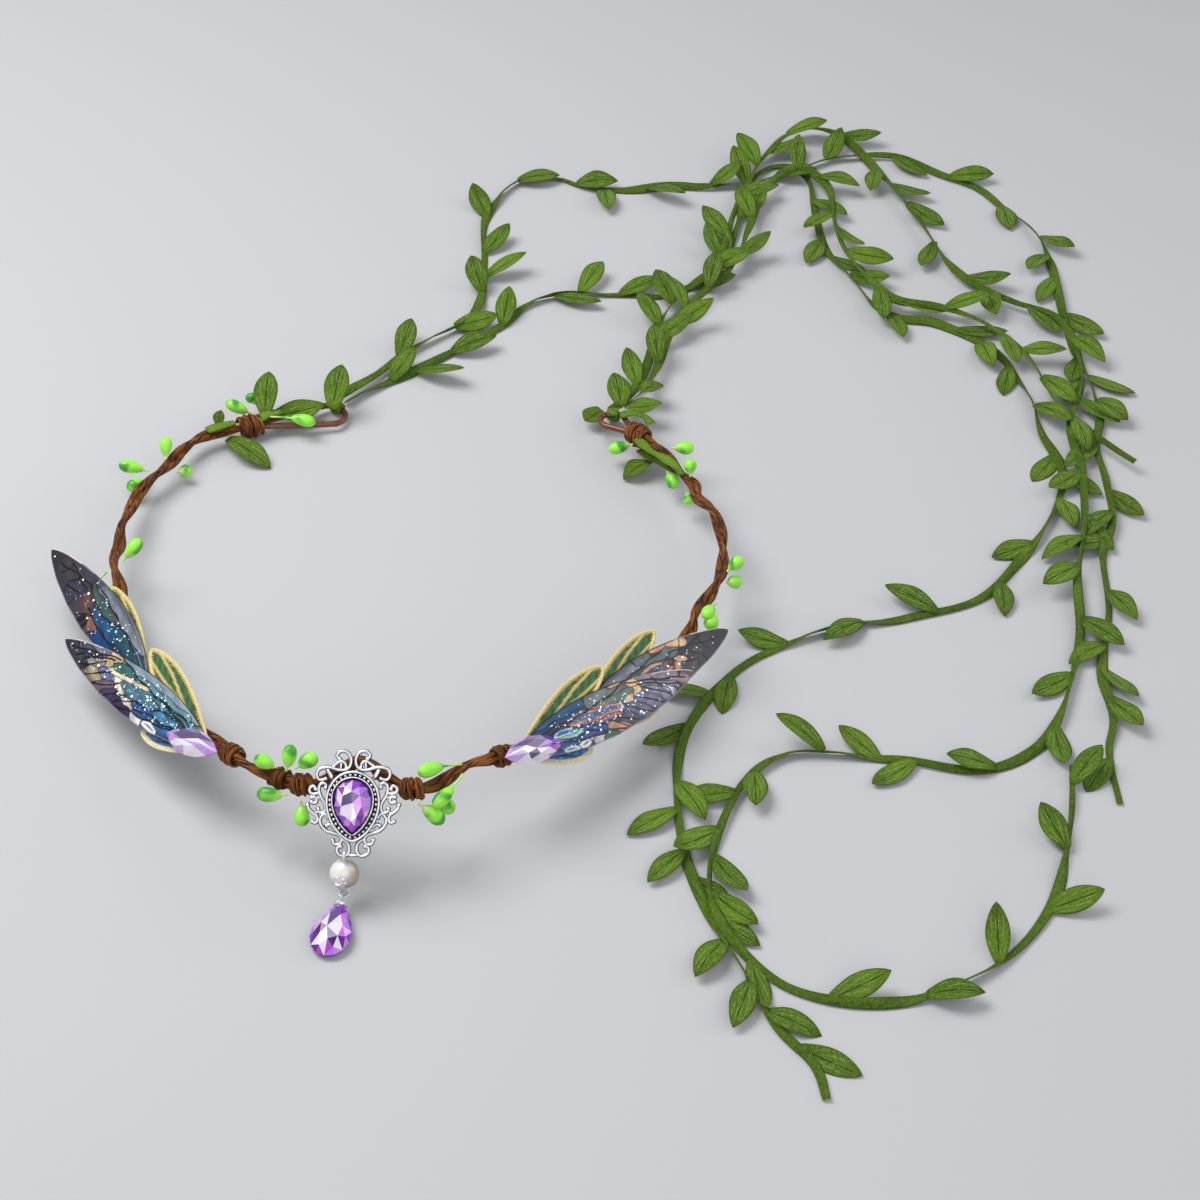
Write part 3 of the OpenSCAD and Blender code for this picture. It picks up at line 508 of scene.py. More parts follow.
for node, strand in strands.items():
    # Flat ribbon: a thin lens carried along the route, rolled a little to and fro as it goes
    points, lengths = evenRoute([(*spot, strand["level"])[:3] for spot in strand["route"]], 2.0)
    _, side, lift = framesOf(points)
    phase = dice.uniform(0, 6)
    longWave, shortWave = ribbonShape["rollWaves"]
    roll = (np.sin(lengths / longWave + phase) + 0.5 * np.sin(lengths / shortWave + 2 * phase)) / 1.5
    roll = np.radians(ribbonShape["roll"]) * roll
    rolledSide = side * np.cos(roll)[:, None] + lift * np.sin(roll)[:, None]
    rolledLift = lift * np.cos(roll)[:, None] - side * np.sin(roll)[:, None]
    narrow = 1 - ribbonShape["narrow"] * (1 + np.sin(lengths / ribbonShape["widthWave"] + 3 * phase))
    toEnd = (lengths - lengths[-1] + ribbonShape["endLength"]) / ribbonShape["endLength"]
    narrow = narrow - ribbonShape["endNarrow"] * np.clip(toEnd, 0, 1)
    points[:, 2] = np.maximum(points[:, 2], 0.3 + ribbonShape["half"] * np.abs(np.sin(roll)))
    across = np.array(ribbonShape["across"])
    outline = xyz(across * ribbonShape["half"], np.array(ribbonShape["up"]) * ribbonShape["thick"])
    rings = ringsAlong(points, outline, rolledSide, rolledLift, narrow)
    ribbonMould = Mould()
    ribbonMould.grid(rings, u=-lengths / 17.0, v=np.append(across, 1), tone=0.6)
    ribbonPiece = makePiece("strand" + node[-1].upper(), ribbonMould, leafSatin, [node])
    leafMould = Mould()
    reach = lengths[-1] - strand["first"] - 4
    for k in range(int(reach // leafShape["step"]) + 1):
        if k in strand["bare"]:
            continue
        at = strand["first"] + k * leafShape["step"]
        i = int(np.argmin(np.abs(lengths - at)))
        hand = 1 if k % 2 == 0 else -1
        ahead = unit(np.gradient(points, axis=0))[i]
        heading = math.degrees(math.atan2(ahead[1], ahead[0]))
        heading = heading + hand * (leafShape["turn"] + dice.uniform(-16, 12))
        slope = math.radians(heading)
        for extra in range(1 + (k in strand["full"])):
            # each leaf leans a little to the front, so that its top shows
            root = points[min(i + 5 * extra, len(points) - 3)] + [0, 0, 0.2 - 0.4 * extra]
            rise = 9 + 9 * math.sin(slope) + dice.uniform(-5, 6)
            tilt = 14 * math.cos(slope) + dice.uniform(-14, 14)
            size = [leafShape[measure] * dice.uniform(*spread) for measure, spread in leafSpread.items()]
            form = dice.uniform(*leafForms)
            putLeaf(leafMould, root, heading - 80 * hand * extra, rise, tilt, *size, *form)
    leavesPiece = makePiece("leaves" + node[-1].upper(), leafMould, leafSatin, [node + "_leaves"])
    (points[0] + ringAt) * mm
    lengths[-1] * mm
    (points + ringAt) * mm
    print("laid", node, round(lengths[-1]), "mm")


# Band of two twisted wires
def twineFinish(name, dark, light, fibre, twist):
    # Paper twine: u is millimetres along, v round once; long fibres that wind slowly round it
    twine = Finish(name, Roughness=0.62, Specular_IOR_Level=0.25)
    u, v = twine.flow()
    turn = (v + u * twist) * (2 * math.pi)
    where = twine.spot(u * 0.24, twine.sine(turn) * fibre, twine.sine(turn + math.pi / 2) * fibre)
    fibres = twine.noise(1.0, 4.0, where, 0.62)
    grime = twine.noise(120.0, 3.0)
    base = twine.blend(twine.band(fibres, 0.38, 0.64), dark, light)
    base = twine.blend(twine.band(grime, 0.45, 0.75) * 0.4, base, tuple(0.5 * c for c in dark))
    twine.give("Base Color", base)
    twine.emboss(fibres, 0.5)
    return twine


bandTwine = twineFinish("bandTwine", ink(32, 13, 2), ink(158, 92, 30), 2.6, 0.05)
copperTwine = twineFinish("copperTwine", ink(36, 15, 4), ink(176, 104, 44), 1.8, 0.1)
band = {"strand": 1.06, "offset": 0.93, "pitch": 40.0, "route": [
    [-69.5, 69.5, 4], [-72, 68, 4], [-81, 61, 5], [-86, 51, 6], [-88, 41, 7], [-91, 34, 7], [-93, 24, 8],
    [-93, 14, 9], [-93, 5, 10], [-91, -5, 11], [-90, -14, 12], [-85, -25, 12], [-78, -42, 12.5],
    [-69, -57, 13], [-58, -71, 14.5], [-48, -83, 17], [-40, -90, 19], [-33, -96, 20], [-27, -100, 21],
    [-20, -102, 21], [-14, -105, 22.5], [-9, -103, 22.5], [-4, -101.5, 25.2], [2, -100, 30],
    [8, -100.5, 25.5], [12, -101, 23.5], [16.5, -102, 24], [22, -98.5, 23.5], [29, -90, 24], [34, -87, 24],
    [39, -82, 22.8], [48, -70, 19.8], [58, -55, 16], [68, -40, 15], [76, -26, 15.3], [81, -15, 16.8],
    [82, -6, 17.6], [85, 2, 17], [87, 12, 16], [87, 22, 15], [86, 31, 14], [84, 40, 13], [81, 49, 12],
    [76, 54, 11.5], [74, 61, 11], [69, 68, 10], [64.5, 74.5, 9.6], [60.5, 80, 9.4], [56.6, 83.4, 8.9],
    [53.5, 86.1, 8.4]]}


def twistedBand():
    # Two round strands that wind round the route half a turn apart, each with slanted ridges
    mould = Mould()
    points, lengths = evenRoute(band["route"], 0.55)
    _, side, lift = framesOf(points)
    turns = 2 * np.pi * (lengths / band["pitch"] + 0.12 * np.sin(lengths / 19))
    for half in (0, np.pi):
        a = turns + half
        centre = points + band["offset"] * (np.cos(a)[:, None] * side + np.sin(a)[:, None] * lift)
        ridge = 1 + 0.025 * np.sin(3 * onceRound(14) + 2 * np.pi * lengths[:, None] / 9.0)
        ridge = ridge + 0.035 * np.sin(lengths[:, None] / 3.1 + half)
        outline = circleOf(14) * ridge[..., None] * band["strand"]
        mould.grid(ringsAlong(centre, outline, side, lift), u=lengths)
    return mould


makePiece("twistedBand", twistedBand(), bandTwine, ["band"])


def wrapCoil(mould, fromStation, toStation, turns, radius, twine, slip, start):
    # Twine wound round the band: a helix of that radius carried along the route
    count = int(turns * 26)
    sway = slip * (toStation - fromStation) / turns * np.sin(np.linspace(0, turns * 2.4, count))
    stations = np.linspace(fromStation, toStation, count) + sway
    centre = spotsOn(band["route"], stations)
    _, side, lift = framesOf(centre)
    a = start + np.linspace(0, 2 * np.pi * turns, count)
    out = np.cos(a)[:, None] * side + np.sin(a)[:, None] * lift
    points = centre + out * radius
    along = unit(np.gradient(points, axis=0))
    across = unit(np.cross(out, along))
    mould.grid(ringsAlong(points, circleOf(9), across, np.cross(along, across), twine), u=marksOf(points))


# From and to which point of the band's route, and turns
windings = {
    "left_front_winding": (19.7, 20.62, 11), "right_front_winding": (25.32, 26.38, 11),
    "left_wing_winding": (16.42, 17.03, 8), "right_wing_winding": (29.27, 29.98, 8),
    "bud_knot": (18.67, 19.38, 7)}
# A close layer of twine and a looser one over it: shifts of both ends, share of the turns, radius, radius of
# the twine, slip
layers = ((0.0, 0.0, 0.72, 2.35, 0.46, 0.25), (0.12, -0.1, 0.34, 2.8, 0.4, 0.5))
for node, (fromStation, toStation, turns) in windings.items():
    coil = Mould()
    for early, late, share, *build in layers:
        wrapCoil(coil, fromStation + early, toStation + late, turns * share, *build, dice.uniform(0, 6))
    finish = bandTwine if node == "bud_knot" else copperTwine
    makePiece(node.replace("_", "."), coil, finish, [node])
print("band and windings ready")

# Wire eyes at the back
copperWire = Finish("copperWire", Roughness=0.38, Metallic=0.35, Coat_Weight=0.3)
stain = copperWire.noise(300.0)
copperWire.give("Base Color", copperWire.blend(stain, (0.1, 0.028, 0.012), (0.24, 0.075, 0.03)))
copperWire.emboss(copperWire.noise(900.0), 0.05)
eyes = {
    "left": {"start": (-66, 71.5, 4), "stop": (-41, 86, 2.3), "width": 12.0, "tie": 40.0},
    "right": {"start": (50.6, 88.6, 8), "stop": (40.4, 97.4, 6.5), "width": 10.0, "tie": -44.0}}
# Half length of the ribbon's sleeve; its flat radius, bulge and folds; length and half width of its tail
tieShape = {"half": 1.9, "swell": (1.55, 0.5, 0.1), "tail": 7.4, "tailHalf": 1.9}
# Half gap and length of the legs, radius of the wire and of the ribbon's sleeve over it; coils of twine over
# the legs: points, turns, from x, length, radius, twine, slip, start
eyeShape = {"leg": 1.08, "back": 3.2, "wire": 0.95, "sleeve": 1.15, "coils": (
    (170, 5.6, -7.2, 7.0, 2.85, 0.62, 0.2, 0), (60, 1.6, -5.3, 3.2, 3.45, 0.55, 0, 1))}
for hand, eye in eyes.items():
    # What is drawn along X is laid onto the line of the eye
    length, heading, rise = aim(eye["start"], eye["stop"])
    moves = [("at", *eye["start"]), ("Z", heading), ("Y", -rise)]
    leg, back = eyeShape["leg"], -eyeShape["back"]
    r, at = eye["width"] / 2 - 1.0, length - eye["width"] / 2
    spread = math.asin(r / math.hypot(at, leg)) - math.atan2(leg, at)
    a = (math.pi / 2 + spread) * np.linspace(1, -1, 25)
    bend = xyz(at + r * np.cos(a), r * np.sin(a), 0)
    line = np.concatenate([[[back, leg, 0], [0, leg, 0]], bend, [[0, -leg, 0], [back, -leg, 0]]])
    eyeMould = Mould()
    addRod(eyeMould, evenRoute(line, 0.6)[0], eyeShape["wire"], 14)
    makePiece(hand + "Eye", eyeMould.move(*moves), copperWire, [hand + "_end_loop"])
    coil = Mould()
    for count, turns, fromX, span, radius, twine, slip, start in eyeShape["coils"]:
        a = np.linspace(0, 2 * np.pi * turns, count)
        x = fromX + span * np.linspace(0, 1, count) + slip * np.sin(a * 0.37)
        helix = xyz(x, radius * np.cos(a + start), radius * np.sin(a + start))
        addRod(coil, helix, twine, 9, upward=(1.0, 0.0, 0.0), u=a * radius)
    makePiece(hand + "EndCoil", coil.move(*moves), copperTwine, [hand + "_end_winding"])
    # ribbon wrapped round the wire of the eye: a soft sleeve with folds, and its tail on the right side
    tie = Mould()
    a = onceRound(24)
    y = np.linspace(-tieShape["half"], tieShape["half"], 9)[:, None]
    flat, bulge, fold = tieShape["swell"]
    swell = flat + bulge * np.sqrt(np.clip(1 - (y / 2.0) ** 2, 0, 1)) + fold * np.sin(3 * a + 1.2 * y)
    outer = xyz(swell * np.cos(a), y, swell * np.sin(a))
    inner = xyz(eyeShape["sleeve"] * np.cos(a), y, eyeShape["sleeve"] * np.sin(a))
    tie.grid(np.concatenate([outer, inner[::-1], outer[:1]]), v=np.linspace(-1, 1, 25), ends=False, tone=0.5)
    tie.move(("at", at, 0, 0), ("Z", eye["tie"]), ("at", r - 0.2, 0, 0))
    if hand == "right":
        tail = Mould()
        across = np.array([-1, -0.5, 0, 0.5, 1, 0.5, 0, -0.5])
        x = np.linspace(0, tieShape["tail"], 12)[:, None]
        z = 0.24 * np.sin(x) * across + np.where(np.arange(8) > 4, -0.3, 0.3) * (np.abs(across) < 0.95)
        tail.grid(xyz(x, across * tieShape["tailHalf"], z), u=np.linspace(0, 0.6, 12),
                  v=np.append(across, -1), tone=0.4)
        tail.move(("at", at, 0, 0), ("Z", eye["tie"]), ("at", r + 1.4, 0, 0), ("Y", 55))
        tie.add(tail)
    makePiece(hand + "Tie", tie.move(*moves), leafSatin, [hand + "_tie"])

# Leaves from root to tip, and strips of ribbon through points
tieLeaves = {
    "left": [
        ((-65.2, 74, 5.8), (-67, 87, 14)), ((-62.8, 75, 5.6), (-48, 84.4, 6.2)),
        ((-75, 63, 3), (-59, 54, 1)), ((-45, 82, 5.6), (-45, 96, 14)), ((-79, 68, 4), (-79, 71, 8))],
    "right": [
        ((46, 102, 7), (42, 111, 14)), ((47, 102, 7), (59, 105, 9)), ((51, 113, 6.4), (58, 117, 7.2)),
        ((39.6, 101.6, 5.2), (35, 96, 4)), ((59, 80, 3.4), (51, 72, 1)), ((54, 84, 4.1), (68, 75, 4.1))]}
tieStrips = {
    "left": [
        [(-81, 60.8, 7), (-77, 64, 7.2), (-73.4, 66.8, 7)],
        [(-66.4, 70, 6.8), (-64.6, 73, 7), (-60.5, 76.4, 6.6)]],
    "right": [
        [(46.3, 95.4, 8.4), (50, 95.6, 9.6), (54.4, 92.4, 11.6), (57, 88.6, 11.8)],
        [(53.6, 83.2, 9.6), (58.4, 76, 10.8), (63.2, 72, 11.8), (67.2, 67.8, 12.4), (70, 63.2, 12.8)]]}
stripOutline = 2.1 * np.array([[1, 0], [0.5, 0.16], [0, 0.24], [-0.5, 0.16], [-1, 0],
                               [-0.5, -0.1], [0, -0.08], [0.5, -0.1]])
# Width of a long leaf and of one up to the short length; fold, curl and wave
tieLeafShape = {"wide": 8.4, "slim": 4.5, "short": 7, "form": (0.22, -0.03, 0.1)}
for hand, pairs in tieLeaves.items():
    bunch = Mould()
    for strip in tieStrips[hand]:
        stripPoints, lengths = evenRoute(strip, 0.8)
        _, side, lift = framesOf(stripPoints)
        rings = ringsAlong(stripPoints, stripOutline, side, lift, 0.8 + 0.2 * np.sin(lengths / 2.2))
        bunch.grid(rings, u=-lengths / 17.0, tone=0.4)
    for root, tip in pairs:
        length, heading, rise = aim(root, tip)
        width = tieLeafShape["wide"] if length > tieLeafShape["short"] else tieLeafShape["slim"]
        putLeaf(bunch, root, heading, rise, dice.uniform(-20, 20), length, width, *tieLeafShape["form"],
                dice.uniform(0, 6), dice.uniform(0, 0.6))
    makePiece(hand + "TieLeaves", bunch, leafSatin, [hand + "_tie_leaves"])
print("eyes and ties ready")

# Buds
budGreen = Finish("budGreen", Roughness=0.38, Coat_Weight=0.25, Coat_Roughness=0.3, Subsurface_Weight=0.15)
budGreen.shader.inputs["Subsurface Scale"].default_value = 0.002
budGreen.shader.inputs["Subsurface Radius"].default_value = (0.4, 1.0, 0.2)
budU, _ = budGreen.flow()
patches = budGreen.band(budGreen.noise(170.0, 1.0), 0.46, 0.6)
budColor = budGreen.blend(patches * 0.85, ink(150, 236, 66), ink(14, 136, 26))
budColor = budGreen.blend(budGreen.band(budU, 0.42, 0.15), budColor, ink(186, 226, 120))
budGreen.give("Base Color", budColor)
budGreen.emboss(budGreen.noise(500.0, 3.0), 0.12)
budShape = {"radius": 2.1, "body": 8.0, "widest": 0.62, "stalk": 0.16, "bow": 0.04}
# Root and tip of each bud
budLists = {
    "front_left": [
        ((-20.5, -102, 24.7), (-27, -100.5, 25.8)), ((-17.8, -103.5, 25.3), (-17.5, -99, 31)),
        ((-15.3, -104, 27.2), (-9.6, -102.4, 31.2)), ((-16.8, -107.2, 20.4), (-25, -107.3, 19.6)),
        ((-13, -107.4, 18.9), (-12, -112, 14))],
    "front_right": [
        ((27.5, -92.5, 26.3), (17.2, -100.8, 28.8)), ((28.3, -95.4, 25.6), (22.4, -106, 22.6)),
        ((18.3, -105, 21.7), (25, -105, 16)), ((23, -102, 20), (27, -100, 17))],
    "left_side": [
        ((-87, -15, 14), (-83, -9, 18)), ((-91, -19, 12), (-97, -34, 12)),
        ((-88.6, -20.5, 9.6), (-89.5, -27, 7))],
    "left_back": [
        ((-93, 35.4, 8), (-102, 34, 10)), ((-93.2, 33, 6), (-98, 28.5, 5.5)),
        ((-88.8, 40.5, 9.4), (-90, 46, 14)), ((-85.2, 40.5, 5), (-82.2, 44, 4))],
    "left_loop": [
        ((-70, 75, 5), (-78, 74, 9)), ((-70, 80, 5), (-72, 82, 8)), ((-64.9, 72, 6.8), (-48.8, 73.4, 6))],
    "right_lower": [
        ((87, -3, 18), (85, -16, 24)), ((87.6, -5, 16.6), (85.8, -9.8, 13.8))],
    "right_side": [
        ((88.7, 12.8, 17.8), (93, 16, 21)), ((89.3, 11, 15.2), (93, 15, 13))],
    "right_back": [
        ((65, 77, 12), (72, 78, 12)), ((72.6, 62, 13.2), (72, 66, 17)), ((64.6, 70, 8), (68, 64.5, 6.2)),
        ((72, 60, 8.8), (74, 57.2, 6.4))],
    "right_loop": [
        ((52.4, 82.2, 7.6), (45, 79.5, 6))]}


def addBud(mould, root, tip):
    # Turned round a slightly bowed line: thin stalk, blunt swelling, then half an ellipse
    root, tip = np.array(root, float), np.array(tip, float)
    length = float(np.linalg.norm(tip - root))
    body = min(budShape["body"], length * 0.86)
    stalk = 1 - body / length
    t = np.concatenate([np.linspace(0, stalk, 5)[:-1],
                        stalk + (1 - stalk) * np.sin(np.pi / 2 * np.linspace(0, 1, 18))])
    s = np.clip((t - stalk) / (1 - stalk), 0, 1)
    bow = unit(np.cross(unit(tip - root), dice.normal(size=3)))
    points = root + t[:, None] * (tip - root)
    points = points + np.sin(np.pi * t)[:, None] * bow * budShape["bow"] * length
    widest, thin = budShape["widest"], budShape["stalk"]
    swell = np.where(s > widest, np.sqrt(np.clip(1 - ((s - widest) / (1 - widest)) ** 2, 0, 1)),
                     thin + (1 - thin) * np.sin(np.pi / 2 * np.clip(s / widest, 0, 1)) ** 0.66)
    radius = budShape["radius"] * dice.uniform(0.94, 1.05) * swell
    addRod(mould, points, radius, 16, upward=unit(np.cross(tip - root, [0.3, 1.0, 0.2])), u=t)


for cluster, pairs in budLists.items():
    mould = Mould()
    for root, tip in pairs:
        addBud(mould, root, tip)
    makePiece(cluster.replace("_", ".") + ".buds", mould, budGreen, [cluster + "_buds"])
print("buds ready")


# Pierced plate
def silverFinish(name, dark, low, high):
    # Cast silver, painted light: bright on what faces the top or straight away from it, dark on what faces
    # neither
    silver = Finish(name, Metallic=0.7)
    wear = silver.noise(520.0, 4.0)
    # painted highlight and painted shade by facing, varied by wear; on the antique plate the dark also stands
    # for black in its hollows
    paintedShine = silver.band(abs(silver.tone("facing")) + wear * 0.5, low, high)
    base = silver.blend(paintedShine, dark, ink(242, 242, 245))
    ground = silver.blend(silver.band(silver.noise(2600.0, 1.0), 0.45, 0.6), ink(14, 13, 15), ink(96, 95, 99))
    silver.give("Base Color", silver.blend(silver.tone(), base, ground))
    silver.give("Roughness", 0.22 + wear * 0.2 + silver.tone() * 0.3)
    silver.emboss(silver.noise(1500.0, 3.0) * (0.2 + silver.tone()), 0.12)
    return silver


antiqueSilver = silverFinish("antiqueSilver", ink(18, 17, 19), 0.78, 1.1)
brightSilver = silverFinish("brightSilver", ink(90, 88, 92), -0.2, 0.75)
plate = {"at": (2, -111.4, 23.7), "lean": 45.0, "roll": 8.0, "thick": 1.1, "rod": 0.5, "bezel": (14.4, 18.7),
         "rim": 2.2, "rimRod": 0.42, "rope": 0.36, "ropeTurns": 50, "beads": 34, "bead": 0.54,
         "stone": (10.0, 14.0), "flat": 1.15, "ball": (1.34, 0.95), "foot": (1.6, -12.75, 0.45)}
# Middle lines of the scrolls on the plate's left half, then straight links: from x, y, to x, y, width
scrolls = [
    [[-7.3, 7.3], [-8.9, 7], [-9.7, 8.4], [-8.9, 9.9], [-6.4, 10.3], [-3.8, 9.6], [-1.9, 9.7], [-0.8, 10.9],
     [-0.7, 12.8], [-1.7, 14.3], [-3.4, 14.5], [-4.4, 13.4], [-3.7, 12.5]],
    [[-5.3, 10.5], [-4.3, 11.4], [-3.2, 11.9], [-2.2, 11.3], [-1.9, 10.1]],
    [[-7.3, 5], [-7.2, 5.8], [-8.1, 6.2], [-8.9, 5.6], [-9.1, 4.3], [-8.6, 2.6], [-7.6, 1], [-7.3, -0.6],
     [-7.9, -1.6], [-8.9, -1.5], [-9.3, -0.6]],
    [[-10, 4.6], [-10.4, 5.4], [-11.4, 5], [-11.5, 3.9], [-10.5, 3.3], [-9, 3.6]],
    [[-11, 2.4], [-10.1, 2.5], [-9.6, 1.6], [-10.2, 0.9], [-11, 1.2]],
    [[-12.1, 0.4], [-11.6, -0.8], [-10.7, -1.6], [-9.7, -2.3], [-9.4, -3.5], [-10, -4.3], [-10.8, -3.9]],
    [[-6.6, -2.9], [-7.2, -2], [-8.2, -2.3], [-8.8, -3.6], [-8.3, -5.1], [-6.9, -6.4], [-5.3, -6.9],
     [-3.7, -7.5], [-3, -8.6], [-3.6, -9.8], [-4.9, -9.8], [-5.3, -8.8]],
    [[-5.3, -5.3], [-6.2, -4.6], [-7, -5]],
    [[-2.7, -8.6], [-1.5, -9.4], [-1, -10.6], [-1.2, -12.2], [-2.4, -13], [-3.9, -12.3], [-4.2, -10.9],
     [-3.2, -10.4]]]
links = [[-6.9, 9.8, -5.4, 7.2, 1.4], [-9.8, 2.3, -8.5, 2.4, 0.8], [-9.6, -2.9, -8.7, -3.2, 0.9],
         [-3.2, 11.6, -3.4, 9.8, 0.9], [-9.1, -1.2, -10.2, -1.8, 0.8]]
plateMoves = [("at", *plate["at"]), ("X", plate["lean"]), ("Z", plate["roll"])]
plateFace = (0.0, -math.sin(math.radians(plate["lean"])), math.cos(math.radians(plate["lean"])))


def pearOutline(width, height, sharp, count):
    # Pear: width follows sin t times a power of sin t/2, height follows cos t; its point is down
    t = onceRound(count)
    swell = np.sin(t) * np.abs(np.sin(t / 2)) ** sharp
    return xyz(-width / 2 * swell / np.abs(swell).max(), -height / 2 * np.cos(t))


def filigree():
    # Round rods along the scrolls with a ball at each end, both hands alike; in the middle a pear-shaped
    # ground with a rim, a ring of beads and a twisted rope round the stone
    mould = Mould()
    level = plate["thick"] / 2
    ballGrow, ballSquash = plate["ball"]
    for side in (1, -1):
        for line in scrolls:
            points, lengths = evenRoute(atHeight(np.array(line, float) * [side, 1], level), 0.28)
            taper = plate["rod"] * (1 + 0.08 * np.sin(np.pi * lengths / lengths[-1]))
            addRod(mould, points, taper, flat=plate["flat"])
            for end in (0, -1):
                addBall(mould, points[end], plate["rod"] * ballGrow, squash=ballSquash)
        for x0, y0, x1, y1, wide in links:
            points = np.linspace([x0 * side, y0, level], [x1 * side, y1, level], 4)
            addRod(mould, points, wide * 0.5)
    footX, footY, footRod = plate["foot"]
    addRod(mould, np.linspace([-footX, footY, level], [footX, footY, level], 4), footRod)
    width, height = plate["bezel"]
    body = pearOutline(width, height, 0.3, 96)
    rows = [(0.5, 0.0), (0.99, 0.0), (1.0, 0.12), (1.0, level * 2 - 0.1), (0.99, level * 2), (0.5, level * 2)]
    mould.grid(np.array([atHeight(body * k, z) for k, z in rows]), tone=0.95)
    rim = pearOutline(width - 0.6, height - 0.6, 0.3, 120)
    addRod(mould, atHeight(rim, plate["rim"] - 0.62), plate["rimRod"], closed=True)
    inner = pearOutline(plate["stone"][0] + 1.0, plate["stone"][1] + 1.2, 0.57, 150)
    rope = plate["rope"] + 0.05 * np.sin(np.arange(150) * 2 * np.pi * plate["ropeTurns"] / 150)
    addRod(mould, atHeight(inner, plate["rim"] - 0.45), rope, 8, closed=True, flat=1.9)
    groove = pearOutline(width - 2.15, height - 2.15, 0.35, 400)
    marks = marksOf(np.concatenate([groove, groove[:1]]))
    spread = (np.arange(plate["beads"]) + 0.5) / plate["beads"] * marks[-1]
    nearest = np.interp(spread, marks, np.arange(len(groove) + 1)).astype(int)
    for x, y in groove[nearest % len(groove)]:
        addBall(mould, (x, y, plate["thick"] + 0.16), plate["bead"])
    return mould.move(*plateMoves)


makePiece("scrollPlate", filigree(), antiqueSilver, ["filigree_plate"], top=plateFace)
print("plate ready")

# Cut stones and pendant
cutGlass = Finish("cutGlass", Roughness=0.04, Metallic=0.15, IOR=1.55, Coat_Weight=1.0, Coat_Roughness=0.02)
cloud = cutGlass.noise(420.0, 2.0)
cutGlass.give("Base Color", cutGlass.blend(cloud * 0.35, cutGlass.paint(), ink(120, 60, 170)))
# Painted light: each facet's colour is the light it catches; W, C, A and G facets are painted glints and
# reflections, N painted shade, and the purples and pinks are lit and shaded copies of the stone's colour
facetColorsAndGlints = {"W": ink(255, 250, 255), "L": ink(214, 176, 246), "P": ink(226, 146, 244), "U": ink(150, 58, 214),
          "D": ink(92, 24, 142), "G": ink(98, 88, 116), "R": ink(190, 66, 204), "C": ink(246, 226, 226),
          "N": ink(46, 30, 66), "A": ink(172, 158, 188)}
midRing = {"scale": 0.8, "height": 0.58}


def cutStone(outline, base, girdle, crown, back, letters, centre, tableScale):
    # Brilliant cut: girdle of 16 points, middle ring of 8 and table of 8, a colour letter for each facet:
    # kites on one hand and the other, stars, girdle triangles on one hand and the other, table
    mould = Mould()
    kiteA, kiteB, star, girdleA, girdleB, tableShade = letters
    g, low = atHeight(outline, girdle), atHeight(outline * 0.97, base)
    mid = atHeight(outline[1::2] * midRing["scale"], girdle + (crown - girdle) * midRing["height"])
    table = atHeight(outline[0::2] * tableScale, crown)
    middle = np.array([*centre, crown + 0.05])
    for j in range(8):
        k = (j + 1) % 8
        for row, corners in ((kiteA, [table[j], mid[j - 1], g[2 * j]]), (kiteB, [table[j], g[2 * j], mid[j]]),
                             (star, [table[j], mid[j], table[k]]),
                             (girdleA, [mid[j], g[2 * j], g[2 * j + 1]]),
                             (girdleB, [mid[j], g[2 * j + 1], g[(2 * j + 2) % 16]]),
                             (tableShade, [table[j], table[k], middle])):
            mould.facet(corners, facetColorsAndGlints[row[j]])
    for j in range(16):
        k = (j + 1) % 16
        mould.facet([g[j], g[k], low[k], low[j]], facetColorsAndGlints["D"])
        mould.facet([low[j], low[k], np.array([0, 0, back])], facetColorsAndGlints["D" if j % 2 else "U"])
    return mould


stoneMoves = plateMoves + [("at", 0, 0, plate["thick"] + 0.1)]
centerStone = cutStone(pearOutline(*plate["stone"], 0.6, 16), 0.0, 0.7, 3.1, 0.0,
                       ["UPDCCULD", "RUPUUDPR", "PWWLLPRW", "RUDCUDWD", "UPUUDLPU", "WWGGGPLW"],
                       (0.3, 0.9), 0.56)
makePiece("centerPear", centerStone.move(*stoneMoves), cutGlass, ["center_stone"], False)

pendant = {"hang": (-2.2, -12.93), "steeper": 35.0, "sway": 3.0, "eye": 1.2, "link": 1.1, "wire": 0.35,
           "pearl": 8.0, "gap": 1.2, "slope": 6.5, "turn": -5.0, "stone": (10.6, 17.4), "back": 1.9}
pearlDown = pendant["eye"] + pendant["wire"] + 0.1 + pendant["pearl"] / 2
lowerEye = pearlDown + pendant["pearl"] / 2 + 0.1 + pendant["wire"] + pendant["link"]
pinMoves = plateMoves + [("at", *pendant["hang"], plate["thick"] / 2), ("Z", pendant["sway"] - plate["roll"]),
                         ("X", pendant["steeper"])]
dropMoves = pinMoves + [("at", 0, -lowerEye, 0), ("X", pendant["slope"] - plate["lean"] - pendant["steeper"]),
                        ("at", 0, -pendant["gap"], 0), ("Z", -90 + pendant["turn"])]
dropAt = pendant["link"] + 2.05 + pendant["stone"][1] / 2
dropStone = cutStone(pearOutline(*pendant["stone"], 0.6, 16), -0.4, 0.4, 2.65, -pendant["back"],
                     ["DUUDRWPL", "NPLWWDLU", "UPRNWNPU", "DUUPRDLP", "UDPUDUPD", "GWWAAAWG"],
                     (1.1, 0.9), 0.55)
makePiece("dropPear", dropStone.move(*dropMoves, ("at", dropAt, 0, 0), ("Z", -90)), cutGlass,
          ["drop_stone"], False)

